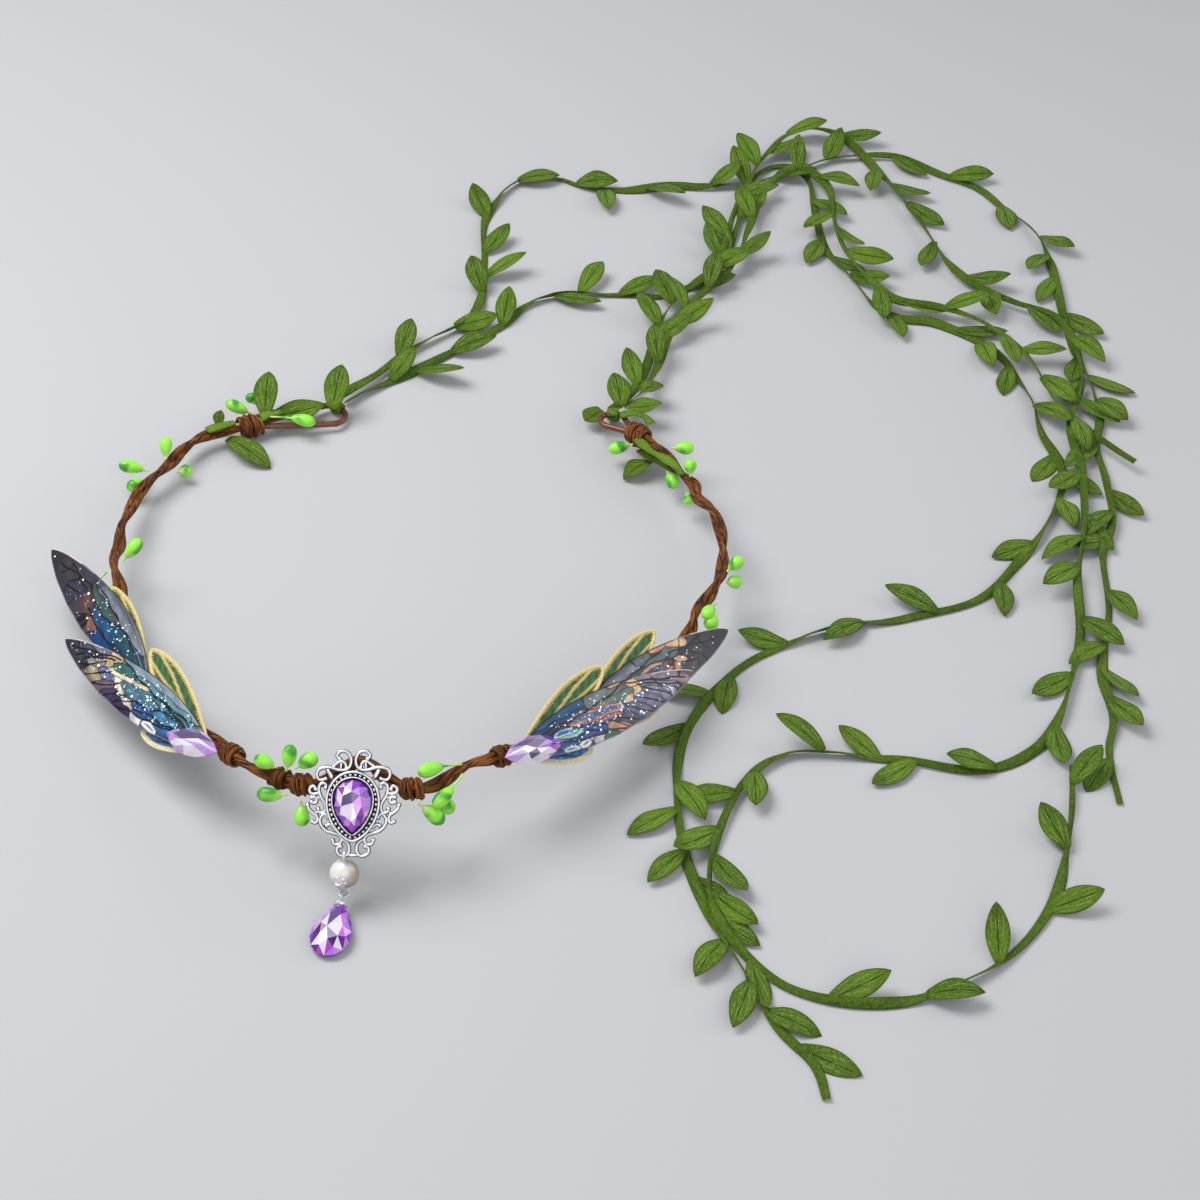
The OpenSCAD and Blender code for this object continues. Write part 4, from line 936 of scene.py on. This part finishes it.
pearlWhite = Finish("pearlWhite", Roughness=0.22, Coat_Weight=0.7, Coat_Roughness=0.1)
glow = pearlWhite.noise(160.0, 2.0)
facing = pearlWhite.tone("facing")
# Painted shade: the pearl turns darker beige where it faces away from the upper left front
shadedPearl = pearlWhite.blend(pearlWhite.band(facing, 0.0, 0.95), ink(150, 134, 112), ink(236, 231, 224))
pearlWhite.give("Base Color", pearlWhite.blend(glow * 0.3, shadedPearl, ink(226, 214, 214)))
pearlWhite.emboss(pearlWhite.noise(700.0, 2.0), 0.02)
bead = Mould()
addBall(bead, (0, 0, 0), pendant["pearl"] / 2, 32, 48)
bead.move(*pinMoves, ("at", 0, -pearlDown, 0), ("X", 90))
# its facing is taken towards the upper left front, from where the painted light falls
makePiece("pearlBead", bead, pearlWhite, ["pearl"], top=(-0.5, -0.45, 0.74))


def ringAround(mould, at, radius, wire, axis):
    # Closed wire ring across X, or flat: a circle swept by a small circle
    a, b = radius * circleOf(36).T
    points, upward = (xyz(0, a, b), (1.0, 0.0, 0.0)) if axis == "X" else (xyz(a, b, 0), (0.0, 0.0, 1.0))
    addRod(mould, points + np.array(at), wire, upward=upward, closed=True)


pearlSpot = turned([0, -pearlDown, 0], *pinMoves)
eyeSpot = turned([0, -lowerEye, 0], *pinMoves)
pin = Mould()
ringAround(pin, (0, 0, 0), pendant["eye"], pendant["wire"], "X")
ringAround(pin, (0, -lowerEye, 0), pendant["link"], pendant["wire"], "X")
addRod(pin, np.linspace([0, -pendant["eye"], 0], [0, -lowerEye + pendant["link"], 0], 6), pendant["wire"])
pin.move(*pinMoves)
# flower cap on the pearl: a shallow cup whose rim has petals, with a coiled wire in its middle
flowerCap = {"petals": 8, "hole": 0.5, "reach": 1.35, "ball": 4.26, "thick": 0.28, "coil": 0.62}
linkWire = 0.26
theta = onceRound(64)
petals = np.cos(flowerCap["petals"] * theta)
depth = np.linspace(0, 1, 9)[:, None]
petal = flowerCap["hole"] + flowerCap["reach"] * depth * (1 + 0.2 * depth * petals)
fall = -np.sqrt(flowerCap["ball"] ** 2 - petal ** 2) - 0.12 * petals * depth
cup = xyz(petal * np.cos(theta), fall, petal * np.sin(theta))
flower = Mould()
flower.grid(np.concatenate([cup, cup[::-1] + [0, flowerCap["thick"], 0], cup[:1]]), ends=False)
ringAround(flower, (0, -4.5, 0), flowerCap["coil"], linkWire, "Z")
flower.move(("at", *pearlSpot), ("Z", -9.5), ("X", -6.0))
pin.add(flower)
# long double link from the cap down to the lower eye: shifts of its ends, half width of each loop
longLink = {"top": (-0.75, -4.6, 0.3), "foot": (0.0, -1.2, 0.7), "wide": (0.35, 0.8)}
front, down = pearlSpot + longLink["top"], eyeSpot + longLink["foot"]
outward = unit(np.cross(front - down, [1.0, 0.0, 0.0]))
a = onceRound(40)[:, None]
for wide in longLink["wide"]:
    oval = (front + down) / 2 + (front - down) * (0.48 + 0.1 * wide) * np.cos(a)
    oval = oval + xyz(wide, 0, 0) * np.sin(a)
    addRod(pin, oval, linkWire, 8, upward=outward, closed=True)
makePiece("pearlPin", pin, brightSilver, ["eye_pin"], top=(0.0, -0.2, 0.98))
cap = Mould()
ringAround(cap, (0, 0, 0), pendant["link"], pendant["wire"], "Z")
# the cap widens from its neck to the drop stone, and its rim has petals
capShape = {"neck": 0.55, "grow": 1.1, "length": 2.7, "petals": 6, "oval": 1.15}
s = np.linspace(0, 1, 12)[:, None]
capX = pendant["link"] + 0.1 + capShape["length"] * s
capPetals = 1 + 0.05 * s * np.cos(capShape["petals"] * theta)
capRadius = capShape["neck"] + capShape["grow"] * s ** 1.1 * capPetals
cap.grid(xyz(capX, capRadius * np.cos(theta) * capShape["oval"], capRadius * np.sin(theta)))
makePiece("dropCap", cap.move(*dropMoves), brightSilver, ["drop_cap"], top=(0.0, 0.2, 0.98))
print("stones and pendant ready")

# Wings: length of the front one, where the rear one starts on it and its turn, where the stone lies on it and
# its turn, lobes of the rear backing as length, width and turn
wings = {
    "left": {"at": (-41, -95, 21), "heading": 140, "lean": -32, "front": 69.0, "rear": (37.6, -5.6, -11.5),
             "stone": (5.2, 1.4, 12.0), "lobes": ((37.5, 7.5, -10.0), (22.0, 7.0, 16.0))},
    "right": {"at": (41, -85, 25), "heading": 51, "lean": 32, "front": 67.9, "rear": (25.8, -1.5, -5.0),
              "stone": (5.0, 0.7, 8.0), "lobes": ((43.0, 8.8, -14.0), (29.0, 8.0, 15.0))}}
wingShape = {"inner": 6.9, "outer": 7.0, "thick": 0.9, "drop": 7.0, "rear": 64.2, "sink": 2.8, "backing": 1.7,
             "film": 69, "lobes": ((43.0, 9.0, -16.0), (25.0, 7.0, 16.0)), "grid": (321, 71),
             "scallop": (0.012, 12), "rim": 0.32, "dots": 0.9, "veinRise": 0.07}

# Design of the printed film with some painted reflections, in millimetres on a 69 mm wing: cells as from x,
# y, to x, y, half width, colour, and sometimes the colour and half width of an outline; later ones lie over
# earlier ones
frontCells = [
    (4, -1.4, 27, -3.4, 1.5, (24, 62, 98)), (8, -3.9, 28, -4.9, 1.1, (30, 84, 124)),
    (12, -2.2, 25, -2.3, 0.6, (36, 104, 146)), (5, 0.6, 13, 1.8, 1.4, (28, 70, 116)),
    (8, 3.4, 14, 4.6, 1.1, (34, 84, 140)), (25, 0.5, 30, 0.6, 0.4, (60, 84, 130)),
    (29, -4.2, 44, -4.7, 1.15, (116, 126, 122)), (31, -2.9, 46, -2.5, 0.95, (106, 120, 112)),
    (40, -6, 46, -5.6, 0.55, (226, 178, 120)), (46, -5.2, 48.4, -3.8, 0.9, (230, 188, 130)),
    (48, -3.2, 46.6, -1.9, 0.85, (242, 208, 154)), (45.4, -1.4, 43, -0.6, 0.7, (242, 204, 156)),
    (21, -1.7, 39.5, -0.2, 1.4, (100, 112, 144), (214, 150, 120), 0.34),
    (27, 1.3, 38, 1.7, 0.4, (178, 116, 118)),
    (14.5, 0.1, 21.5, 0.3, 0.85, (32, 96, 164), (176, 222, 222), 0.3),
    (13.5, 2.0, 23, 1.9, 0.42, (170, 214, 210)), (12.5, 3.1, 17.5, 3.5, 0.75, (36, 92, 162)),
    (18, 3.3, 23, 2.6, 0.75, (38, 88, 158)), (24, 1.8, 31, 3.4, 0.72, (50, 88, 166)),
    (23.5, 3.2, 29.5, 4.4, 0.6, (46, 82, 158)),
    (20.5, 5.3, 24.5, 5.0, 0.65, (38, 94, 162), (226, 230, 222), 0.4),
    (15, 4.9, 19, 5.3, 0.6, (44, 100, 160), (206, 222, 214), 0.35),
    (26.2, 3.8, 24.8, 5.2, 0.35, (240, 238, 232)), (25.8, 5.8, 31, 5.2, 0.45, (222, 208, 210)),
    (29, 5.8, 32.6, 5.6, 0.75, (72, 110, 76)), (33.6, 4.3, 38.2, 5.4, 0.85, (198, 146, 120)),
    (35.4, 2.8, 37.4, 3.1, 0.75, (78, 64, 86)), (38.2, 3.1, 42.4, 4.9, 1.0, (94, 86, 108)),
    (42, 1.6, 47.6, 4.2, 1.1, (112, 112, 138)), (46.6, -0.2, 52.6, 3.1, 1.1, (126, 122, 148)),
    (51.2, -1.4, 56.6, 2.4, 1.1, (140, 136, 158)), (50, -4.4, 63.4, -0.5, 0.6, (142, 132, 144)),
    (50.6, -3.0, 61, 0.4, 0.6, (150, 142, 160)), (56.4, -0.2, 58.2, 1.9, 0.55, (226, 222, 240)),
    (60, -0.6, 65.2, 0.3, 0.5, (170, 140, 146))]
leftCells = [
    # the first two cells, pale bands along the inner side, are a painted reflection of the resin's gloss
    (8, -4.9, 45, -5.7, 0.9, (136, 156, 170)), (12, -3.2, 36, -4.0, 0.8, (96, 146, 156)),
    (8, -1.4, 30, -2.2, 0.9, (66, 124, 138)), (39, -3.4, 46.2, -3.1, 1.1, (60, 106, 100)),
    (45.6, -5.1, 49.6, -4.2, 0.7, (222, 200, 154)), (50.4, -3.5, 49.4, -1.8, 0.75, (212, 188, 142)),
    (24, -0.4, 40, 0.3, 1.3, (76, 122, 138)), (30, -2.6, 37, -2.0, 0.26, (226, 208, 166)),
    (37, -1.8, 47, -0.7, 0.3, (240, 226, 190)), (43.2, -0.2, 37, 3.0, 0.4, (236, 224, 200)),
    (36.2, 3.3, 31, 4.4, 0.32, (234, 222, 202)), (4, 0.8, 13, 1.2, 1.3, (58, 100, 126)),
    (13, 0.9, 23, 1.3, 0.8, (72, 132, 164)), (14, 2.8, 21, 3.3, 0.85, (56, 112, 164)),
    (19, 5.3, 24, 5.3, 0.65, (38, 92, 158), (238, 232, 218), 0.42), (24, 2.7, 32, 3.1, 0.9, (50, 90, 146)),
    (26.4, 5.7, 29.4, 5.4, 0.5, (236, 236, 232)), (31, 5.8, 34, 5.4, 0.9, (56, 44, 74)),
    (35.4, 5.0, 39.6, 4.0, 1.0, (64, 52, 82)), (40.6, 4.6, 43.2, 4.2, 0.8, (72, 62, 90)),
    (43.4, 2.4, 47.6, 3.8, 1.0, (120, 100, 104)), (44, 0.3, 50, 1.4, 0.85, (112, 118, 166)),
    (48.8, 3.1, 54, 1.5, 1.0, (176, 158, 126)), (51, -0.6, 55.4, 0.4, 0.8, (150, 140, 124)),
    (52, -4.0, 58, -3.2, 0.8, (108, 114, 124)), (54, -2.4, 62, -1.4, 0.9, (76, 78, 86)),
    (57, 0.4, 64, 0.1, 1.1, (62, 62, 70))]
rearCells = [
    (5, -0.4, 22, -1.4, 1.2, (40, 84, 100)), (27, -2.2, 41, -1.8, 1.0, (50, 104, 100), (92, 70, 64), 0.25),
    (21, 1.4, 36, 1.0, 1.3, (36, 84, 124)), (20.5, 4.0, 28, 5.2, 0.8, (32, 68, 122)),
    (35.4, 3.4, 42, -0.2, 1.4, (98, 70, 62)), (30, 3.2, 37, 3.4, 0.5, (150, 104, 86)),
    # the first cell below, a pale grey strip along the inner side, is a painted reflection
    (8, -2.6, 40, -4.9, 0.45, (126, 134, 144)), (48, -1.2, 60, -0.4, 1.6, (66, 60, 64))]
rightRearCells = [
    (31, -4.6, 46, -3.0, 1.3, (98, 114, 114)),
    (30, -1.5, 42, 0, 1.25, (106, 118, 144), (208, 150, 120), 0.36),
    (38, -6, 44.6, -5.9, 0.5, (216, 150, 112)), (45, -5.5, 48.6, -4.8, 0.7, (236, 188, 138)),
    (49.6, -3.6, 51, -3.2, 0.75, (238, 196, 150)), (50.2, -1.9, 50, -1.2, 0.85, (240, 198, 154)),
    (48.4, -0.3, 45.4, 0.3, 0.65, (238, 192, 148)), (44.4, 1.1, 42, 2.2, 0.6, (228, 172, 142)),
    (38, 3.6, 42, 3.2, 0.5, (196, 140, 124)), (40, 4.6, 52, 2.4, 1.2, (86, 72, 78))]
# Its veins, each through a list of points
frontVeins = [
    [(3, 0), (15, -1.3), (27, -2.6), (36, -3.6), (47, -6)], [(3, -1), (13, -2.2), (28, -2.5)],
    [(36, 1.9), (40, 3.8), (43, 6)], [(41, 0.8), (45, 3.2), (49, 5.2)], [(46, -0.8), (50, 2), (54, 4.2)],
    [(50, -2.2), (54, 0.6), (58, 3)], [(54, -3.6), (55.4, -1), (57.6, 1), (58, 2.4)],
    [(33, 2.4), (37, 4.4), (39, 6.6)], [(46, -5), (56, -2.4), (65.5, 0.3)],
    [(48, -3.7), (57, -0.9), (62, 1.6)], [(8, 1.2), (16, 2.6), (24, 4.4), (31, 5)], [(31, 5), (38, 6.4)],
    [(13, 1.3), (20, 2.8), (25, 2.4), (31, 4.1)], [(10, -0.7), (20, -0.9), (23, 0.8), (32, 2.3)]]
rearVeins = [
    [(2, 0), (14, -1.8), (27, -3.3), (42, -4.9)], [(27, -0.6), (36, -0.4), (43, -2.6)], [(36, 3), (40, 5)],
    [(44, -1), (50, -1.6), (57, -3)], [(46, 1), (52, 2.6)], [(50, -2), (53, 1.4), (51, 4.2)],
    [(56, -2.6), (58, 1.6)], [(20, 2.9), (30, 2.8), (38, 1.6)], [(43, -3), (50, -2.4), (62, 0.2)]]


def wingEdge(t):
    # Half width over its greatest: slim at the root, blunter at the tip
    return np.clip(np.sin(np.pi * t ** 0.87), 0, None) ** np.where(t < 0.451, 0.82, 0.62)


def nearSegment(x, y, ax, ay, bx, by):
    # How far along a segment lies the spot nearest to each point, 0 to 1, and its distance
    t = np.clip(((x - ax) * (bx - ax) + (y - ay) * (by - ay)) / ((bx - ax) ** 2 + (by - ay) ** 2), 0, 1)
    return t, np.hypot(x - ax - t * (bx - ax), y - ay - t * (by - ay))


def nearLine(x, y, line):
    # Distance from each point to a line through a list of points
    return np.min([nearSegment(x, y, *a, *b)[1] for a, b in zip(line[:-1], line[1:])], axis=0)


def over(paint, amount, shade):
    # Lays a colour over others, by an amount from 0 to 1
    return paint + np.clip(amount, 0, 1)[..., None] * (shade - paint)


veinShape = {"cell": 0.3, "line": 0.26}


def filmPaint(x, y, cells, veins, wobble):
    # Colours of the film and height of its veins. Each point takes the colour of the cell whose line it lies
    # nearest to, less that cell's half width, and a thin vein runs wherever two cells are equally near.
    shift = 0.35 * np.sin(1.3 * y + wobble) + 0.2 * np.sin(0.9 * x + 2 * wobble)
    x, y = x + shift, y + 0.22 * np.sin(0.7 * x + wobble)
    beyond, outlines = [], []
    for ax, ay, bx, by, half, shade, *outline in cells:
        t, away = nearSegment(x, y, ax, ay, bx, by)
        beyond.append(away - half * (1 - 0.5 * np.abs(2 * t - 1) ** 2.5))
        if outline:
            outlines.append((beyond[-1], outline))
    beyond = np.stack(beyond)
    nearest = np.argmin(beyond, axis=0)
    first, second = np.partition(beyond, 1, axis=0)[:2]
    ground = over(np.broadcast_to(ink(56, 56, 70), (*x.shape, 3)), (38 - x) / 30, ink(16, 40, 72))
    ground = over(ground, (x - 50) / 12, ink(44, 42, 48))
    mottle = 0.72 + 0.3 * np.sin(0.45 * x + 0.8 * y + wobble)[..., None] ** 2
    paint = np.array([ink(*cell[5]) for cell in cells])[nearest] * mottle
    paint = over(paint, np.clip((first - 0.3) / 1.8, 0, 0.8), ground)
    for reach, (shade, width) in outlines:
        paint = over(paint, 0.5 + (width - np.abs(reach)) / 0.2, ink(*shade))
    line = np.min([nearLine(x, y, vein) for vein in veins], axis=0)
    vein = 0.9 * np.clip(0.5 + (veinShape["cell"] - (second - first)) / 0.2, 0, 1)
    vein = np.maximum(vein, np.clip(0.5 + (veinShape["line"] - line) / 0.16, 0, 1))
    return over(paint, vein, ink(10, 9, 13)), vein


def resinWing(length, cells, veins, wobble):
    # Resin blade along X: inner side -Y, outer side +Y lightly scalloped; domed top, rounded rim, veins
    mould = Mould()
    rows, across = wingShape["grid"]
    scallop, scallops = wingShape["scallop"]
    s = crowdedEnds(rows)[:, None]
    top = np.sin(np.linspace(-np.pi / 2, np.pi / 2, across))
    t = np.concatenate([top, np.sin(np.linspace(np.pi / 2, -np.pi / 2, 13))[1:-1]])[None, :]
    below = np.arange(t.size) >= across
    half = np.where(t < 0, wingShape["inner"] * wingEdge(s),
                    wingShape["outer"] * wingEdge(s) * (1 + scallop * np.cos(scallops * np.pi * s)))
    x, y = np.broadcast_to(s * length, half.shape), t * half
    paint, vein = filmPaint(x * wingShape["film"] / length, y, cells, veins, wobble)
    rim = np.clip(0.5 + (wingShape["rim"] - (1 - np.abs(t)) * half) / 0.2, 0, 1)
    dots = 0.5 + 0.5 * np.sin(2 * np.pi * x / wingShape["dots"])
    # Painted light on the rim: a pale painted reflection all round, dotted over the tip half of the outer
    # rim; over it on the inner rim a painted shadow towards the root and a white painted highlight near the
    # tip
    paint = over(paint, rim * np.where(t > 0, 0.55 + 0.45 * dots * (s > 0.5), 0.75), ink(150, 138, 150))
    paint = over(paint, rim * (t < 0) * (s < 0.7), ink(24, 23, 28))
    paint = over(paint, rim * (t < 0) * (s > 0.8), ink(226, 216, 212))
    dome = np.sqrt(np.clip(1 - t ** 2, 0, 1)) ** 0.5
    z = wingShape["thick"] / 2 * (1 + np.where(below, -1, 1) * dome)
    z = z + np.where(below, 0, wingShape["veinRise"]) * vein
    mould.grid(xyz(x, y, z), u=s[:, 0], v=np.append(t[0], -1.0), paint=paint)
    return mould


wingResin = Finish("wingResin", Coat_Weight=0.14, Coat_Roughness=0.05, Specular_IOR_Level=0.3)
film = wingResin.noise(260.0, 3.0)
smoke = wingResin.band(film, 0.35, 0.75) * 0.3
wingResin.give("Base Color", wingResin.blend(smoke, wingResin.paint(), ink(22, 32, 50)))
wingResin.give("Roughness", 0.14 + film * 0.14)
wingResin.emboss(wingResin.noise(150.0, 2.0), 0.12)
# The flakes glow with their own colours though they are no lamp: a painted glint
glitterFlake = Finish("glitterFlake", Roughness=0.3, Metallic=0.2, Emission_Strength=0.55)
flakeColor = glitterFlake.ramp(glitterFlake.tone(), [
    (0.0, ink(252, 252, 255)), (0.45, ink(232, 246, 255)), (0.62, ink(120, 214, 255)),
    (0.78, ink(70, 150, 236)), (0.9, ink(190, 180, 255)), (1.0, ink(255, 224, 160))])
glitterFlake.give("Base Color", flakeColor)
glitterFlake.give("Emission Color", flakeColor)
glitterFlake.emboss(glitterFlake.noise(900.0), 0.05)
# Flakes: middle and spread along and across the wing, reach to its sides, size and how much it may grow
flakeShape = {"along": (0.47, 0.2), "across": (0.0, 0.42), "reach": 6.6, "size": 0.14, "grow": 0.34}


def glitter(length, count):
    # Small low domes of foil dust, thickest along the middle third
    mould = Mould()
    x = length * np.clip(dice.normal(*flakeShape["along"], count), 0.14, 0.95)
    y = np.clip(dice.normal(*flakeShape["across"], count), -0.8, 0.8)
    y = y * flakeShape["reach"] * wingEdge(x / length)
    size = flakeShape["size"] + flakeShape["grow"] * dice.random(count) ** 3.5
    tone = dice.random(count)
    a = onceRound(8)
    outer, thick = wingShape["outer"], wingShape["thick"]
    for k in range(count):
        dome = np.sqrt(max(0.0, 1 - (y[k] / (outer * wingEdge(x[k] / length))) ** 2)) ** 0.5
        rise = thick * dome / 2 + thick / 2
        out = np.array([1.0, 0.8, 0.25])[:, None] * size[k]
        z = rise + np.array([-0.05, 0.05, 0.09])[:, None]
        mould.grid(xyz(x[k] + out * np.cos(a), y[k] + out * np.sin(a), z), tone=tone[k])
    return mould


stitchedCloth = Finish("stitchedCloth", Roughness=0.62, Sheen_Weight=0.2)
clothU, clothV = stitchedCloth.flow()
stitch = 0.5 + 0.5 * stitchedCloth.sine(clothU * (2 * math.pi / 0.34) + clothV * 2.0)
nap = stitchedCloth.noise(1500.0, 3.0)
# Painted shade: darker between the stitches, where the thread dips away
between = stitchedCloth.band(stitch * 0.4 + nap * 0.75, 0.62, 0.3) * 0.6
stitchedCloth.give("Base Color", stitchedCloth.blend(between, stitchedCloth.paint(), ink(40, 34, 14)))
stitchedCloth.emboss(stitch * 0.4 + nap, 0.2)
lobeLooks = {
    "green": {"ground": (16, 84, 34), "mottle": (44, 122, 56), "waves": (1.7, 2.0), "stripe": (70, 42, 14),
              "stitch": (222, 192, 112), "veinWidth": 0.42, "vein": (236, 208, 118), "rimWidth": 1.0,
              "rim": (250, 232, 150), "shift": -0.5, "sink": 0.0},
    "blue": {"ground": (58, 118, 186), "mottle": (90, 150, 210), "waves": (2.4, 0.0), "veinWidth": 0.3,
             "vein": (30, 60, 110), "rimWidth": 1.4, "rim": (252, 240, 190), "shift": 0.5, "sink": -0.12}}
lobeShape = {"grid": (151, 37), "under": 0.25, "upper": 0.2, "rimRise": 0.22, "veinRise": 0.15, "fork": 0.42}


def lobe(length, width, look):
    # Rounded lobe along X: half width is a power of a sine of x; a raised thread rim, on a green lobe a
    # stitched stripe inside it, and a raised vein that forks at two fifths
    rows, across = lobeShape["grid"]
    s = crowdedEnds(rows)[:, None]
    t = np.concatenate([np.sin(np.linspace(-np.pi / 2, np.pi / 2, across)), [0.6, 0.0, -0.6]])[None, :]
    below = np.arange(t.size) >= across
    half = width / 2 * np.clip(np.sin(np.pi * s ** 1.5), 0, None) ** 0.6
    x, y = np.broadcast_to(s * length, half.shape), t * half
    outline = list(zip(x[::3, 0], -half[::3, 0])) + list(zip(x[::-3, 0], half[::-3, 0]))
    inside = nearLine(x, y, outline)
    fork = length * lobeShape["fork"]
    vein = np.min([nearLine(x, y, [(2, 0), (fork, 0.1), (length * 0.7, h * 1.5), (length * 0.92, h * 1.7)])
                   for h in (1, -1)], axis=0)
    alongX, alongY = look["waves"]
    ground = np.broadcast_to(ink(*look["ground"]), (*x.shape, 3))
    paint = over(ground, 0.5 + 0.5 * np.sin(alongX * x + alongY * y), ink(*look["mottle"]))
    if "stripe" in look:
        paint = over(paint, 0.5 + (1.55 - inside) / 0.25, ink(*look["stripe"]))
        paint = over(paint, (inside < 1.5) * (np.sin(2 * np.pi * x / 0.9) > 0.35), ink(*look["stitch"]))
    for reach, part in ((vein, "vein"), (inside, "rim")):
        paint = over(paint, 0.5 + (look[part + "Width"] - reach) / 0.2, ink(*look[part]))
    raised = lobeShape["rimRise"] * np.sqrt(np.clip(1 - ((inside - 0.4) / 0.42) ** 2, 0, 1))
    raised = raised + lobeShape["veinRise"] * np.clip(1 - vein / 0.4, 0, 1)
    z = np.where(below, -lobeShape["under"], lobeShape["upper"] + raised) * (np.abs(t) < 0.999)
    mould = Mould()
    mould.grid(xyz(x, y, z), u=s[:, 0] * length, v=np.append(t[0], -1.0), paint=paint)
    return mould


pointedSize = (19.5, 8.0)
# Facet letters and middle of each pointed stone
stoneLetters = {
    "left": (["LPLWLAGG", "LWWLWGAL", "PWWLWGGA", "PLWPLLPL", "LPWLPLLP", "AWWLWGGG"], (1.6, 0.7)),
    "right": (["UPWWLAGU", "PWWLWGAU", "UWGWWGAU", "UPWLPLPD", "PWWLLPLU", "UWGWWGGA"], (-0.6, 0.5))}
for hand, wing in wings.items():
    flip = [("flip",)] if wing["lean"] > 0 else []
    lay = [("Z", wing["heading"]), ("Y", wingShape["drop"]), ("X", wing["lean"])]
    frontMoves = [("at", *wing["at"])] + lay + flip
    backX, backY, backTurn = wing["rear"]
    rearMoves = frontMoves + [("at", backX, backY, -wingShape["sink"]), ("Z", backTurn)]
    frontFilm = leftCells if hand == "left" else frontCells
    rearFilm = rearCells if hand == "left" else rearCells + rightRearCells
    parts = (("front", frontMoves, wing["front"], frontFilm, frontVeins, wingShape["lobes"], 200),
             ("rear", rearMoves, wingShape["rear"], rearFilm, rearVeins, wing["lobes"], 80))
    for part, moves, length, cells, veins, lobes, flakes in parts:
        name = f"{hand}_{part}"
        blade = resinWing(length, cells, veins, dice.uniform(0, 6))
        makePiece(name + ".wing", blade.move(*moves), wingResin, [name + "_wing"])
        dust = glitter(length, flakes).move(*moves)
        makePiece(name + ".glitter", dust, glitterFlake, [])
        cloth = Mould()
        for look, (long, wide, angle) in zip(lobeLooks.values(), lobes):
            depth = lobeShape["under"] - wingShape["backing"] + look["sink"]
            cloth.add(lobe(long, wide, look).move(("at", 1.0, look["shift"], depth), ("Z", angle)))
        makePiece(name + ".backing", cloth.move(*moves), stitchedCloth, [name + "_backing"])
    # pointed stone: two arcs, 16 points
    long, wide = pointedSize
    x = long / 2 * np.cos(onceRound(16))
    radius = (long ** 2 + wide ** 2) / (4 * wide)
    y = (np.sqrt(radius ** 2 - x ** 2) - radius + wide / 2) * np.where(np.arange(16) < 8, 1, -1)
    y[np.abs(y) < 1e-6] = 0
    letters, middle = stoneLetters[hand]
    stone = cutStone(xyz(x, y), 0.0, 0.5, 3.0, 0.0, letters, middle, 0.52)
    along, across, angle = wing["stone"]
    stone.move(*frontMoves, ("at", along, across, wingShape["thick"] + 0.1), ("Z", angle))
    makePiece(hand + "PointedStone", stone, cutGlass, ["side_stone_" + hand], False)
print("wings ready")
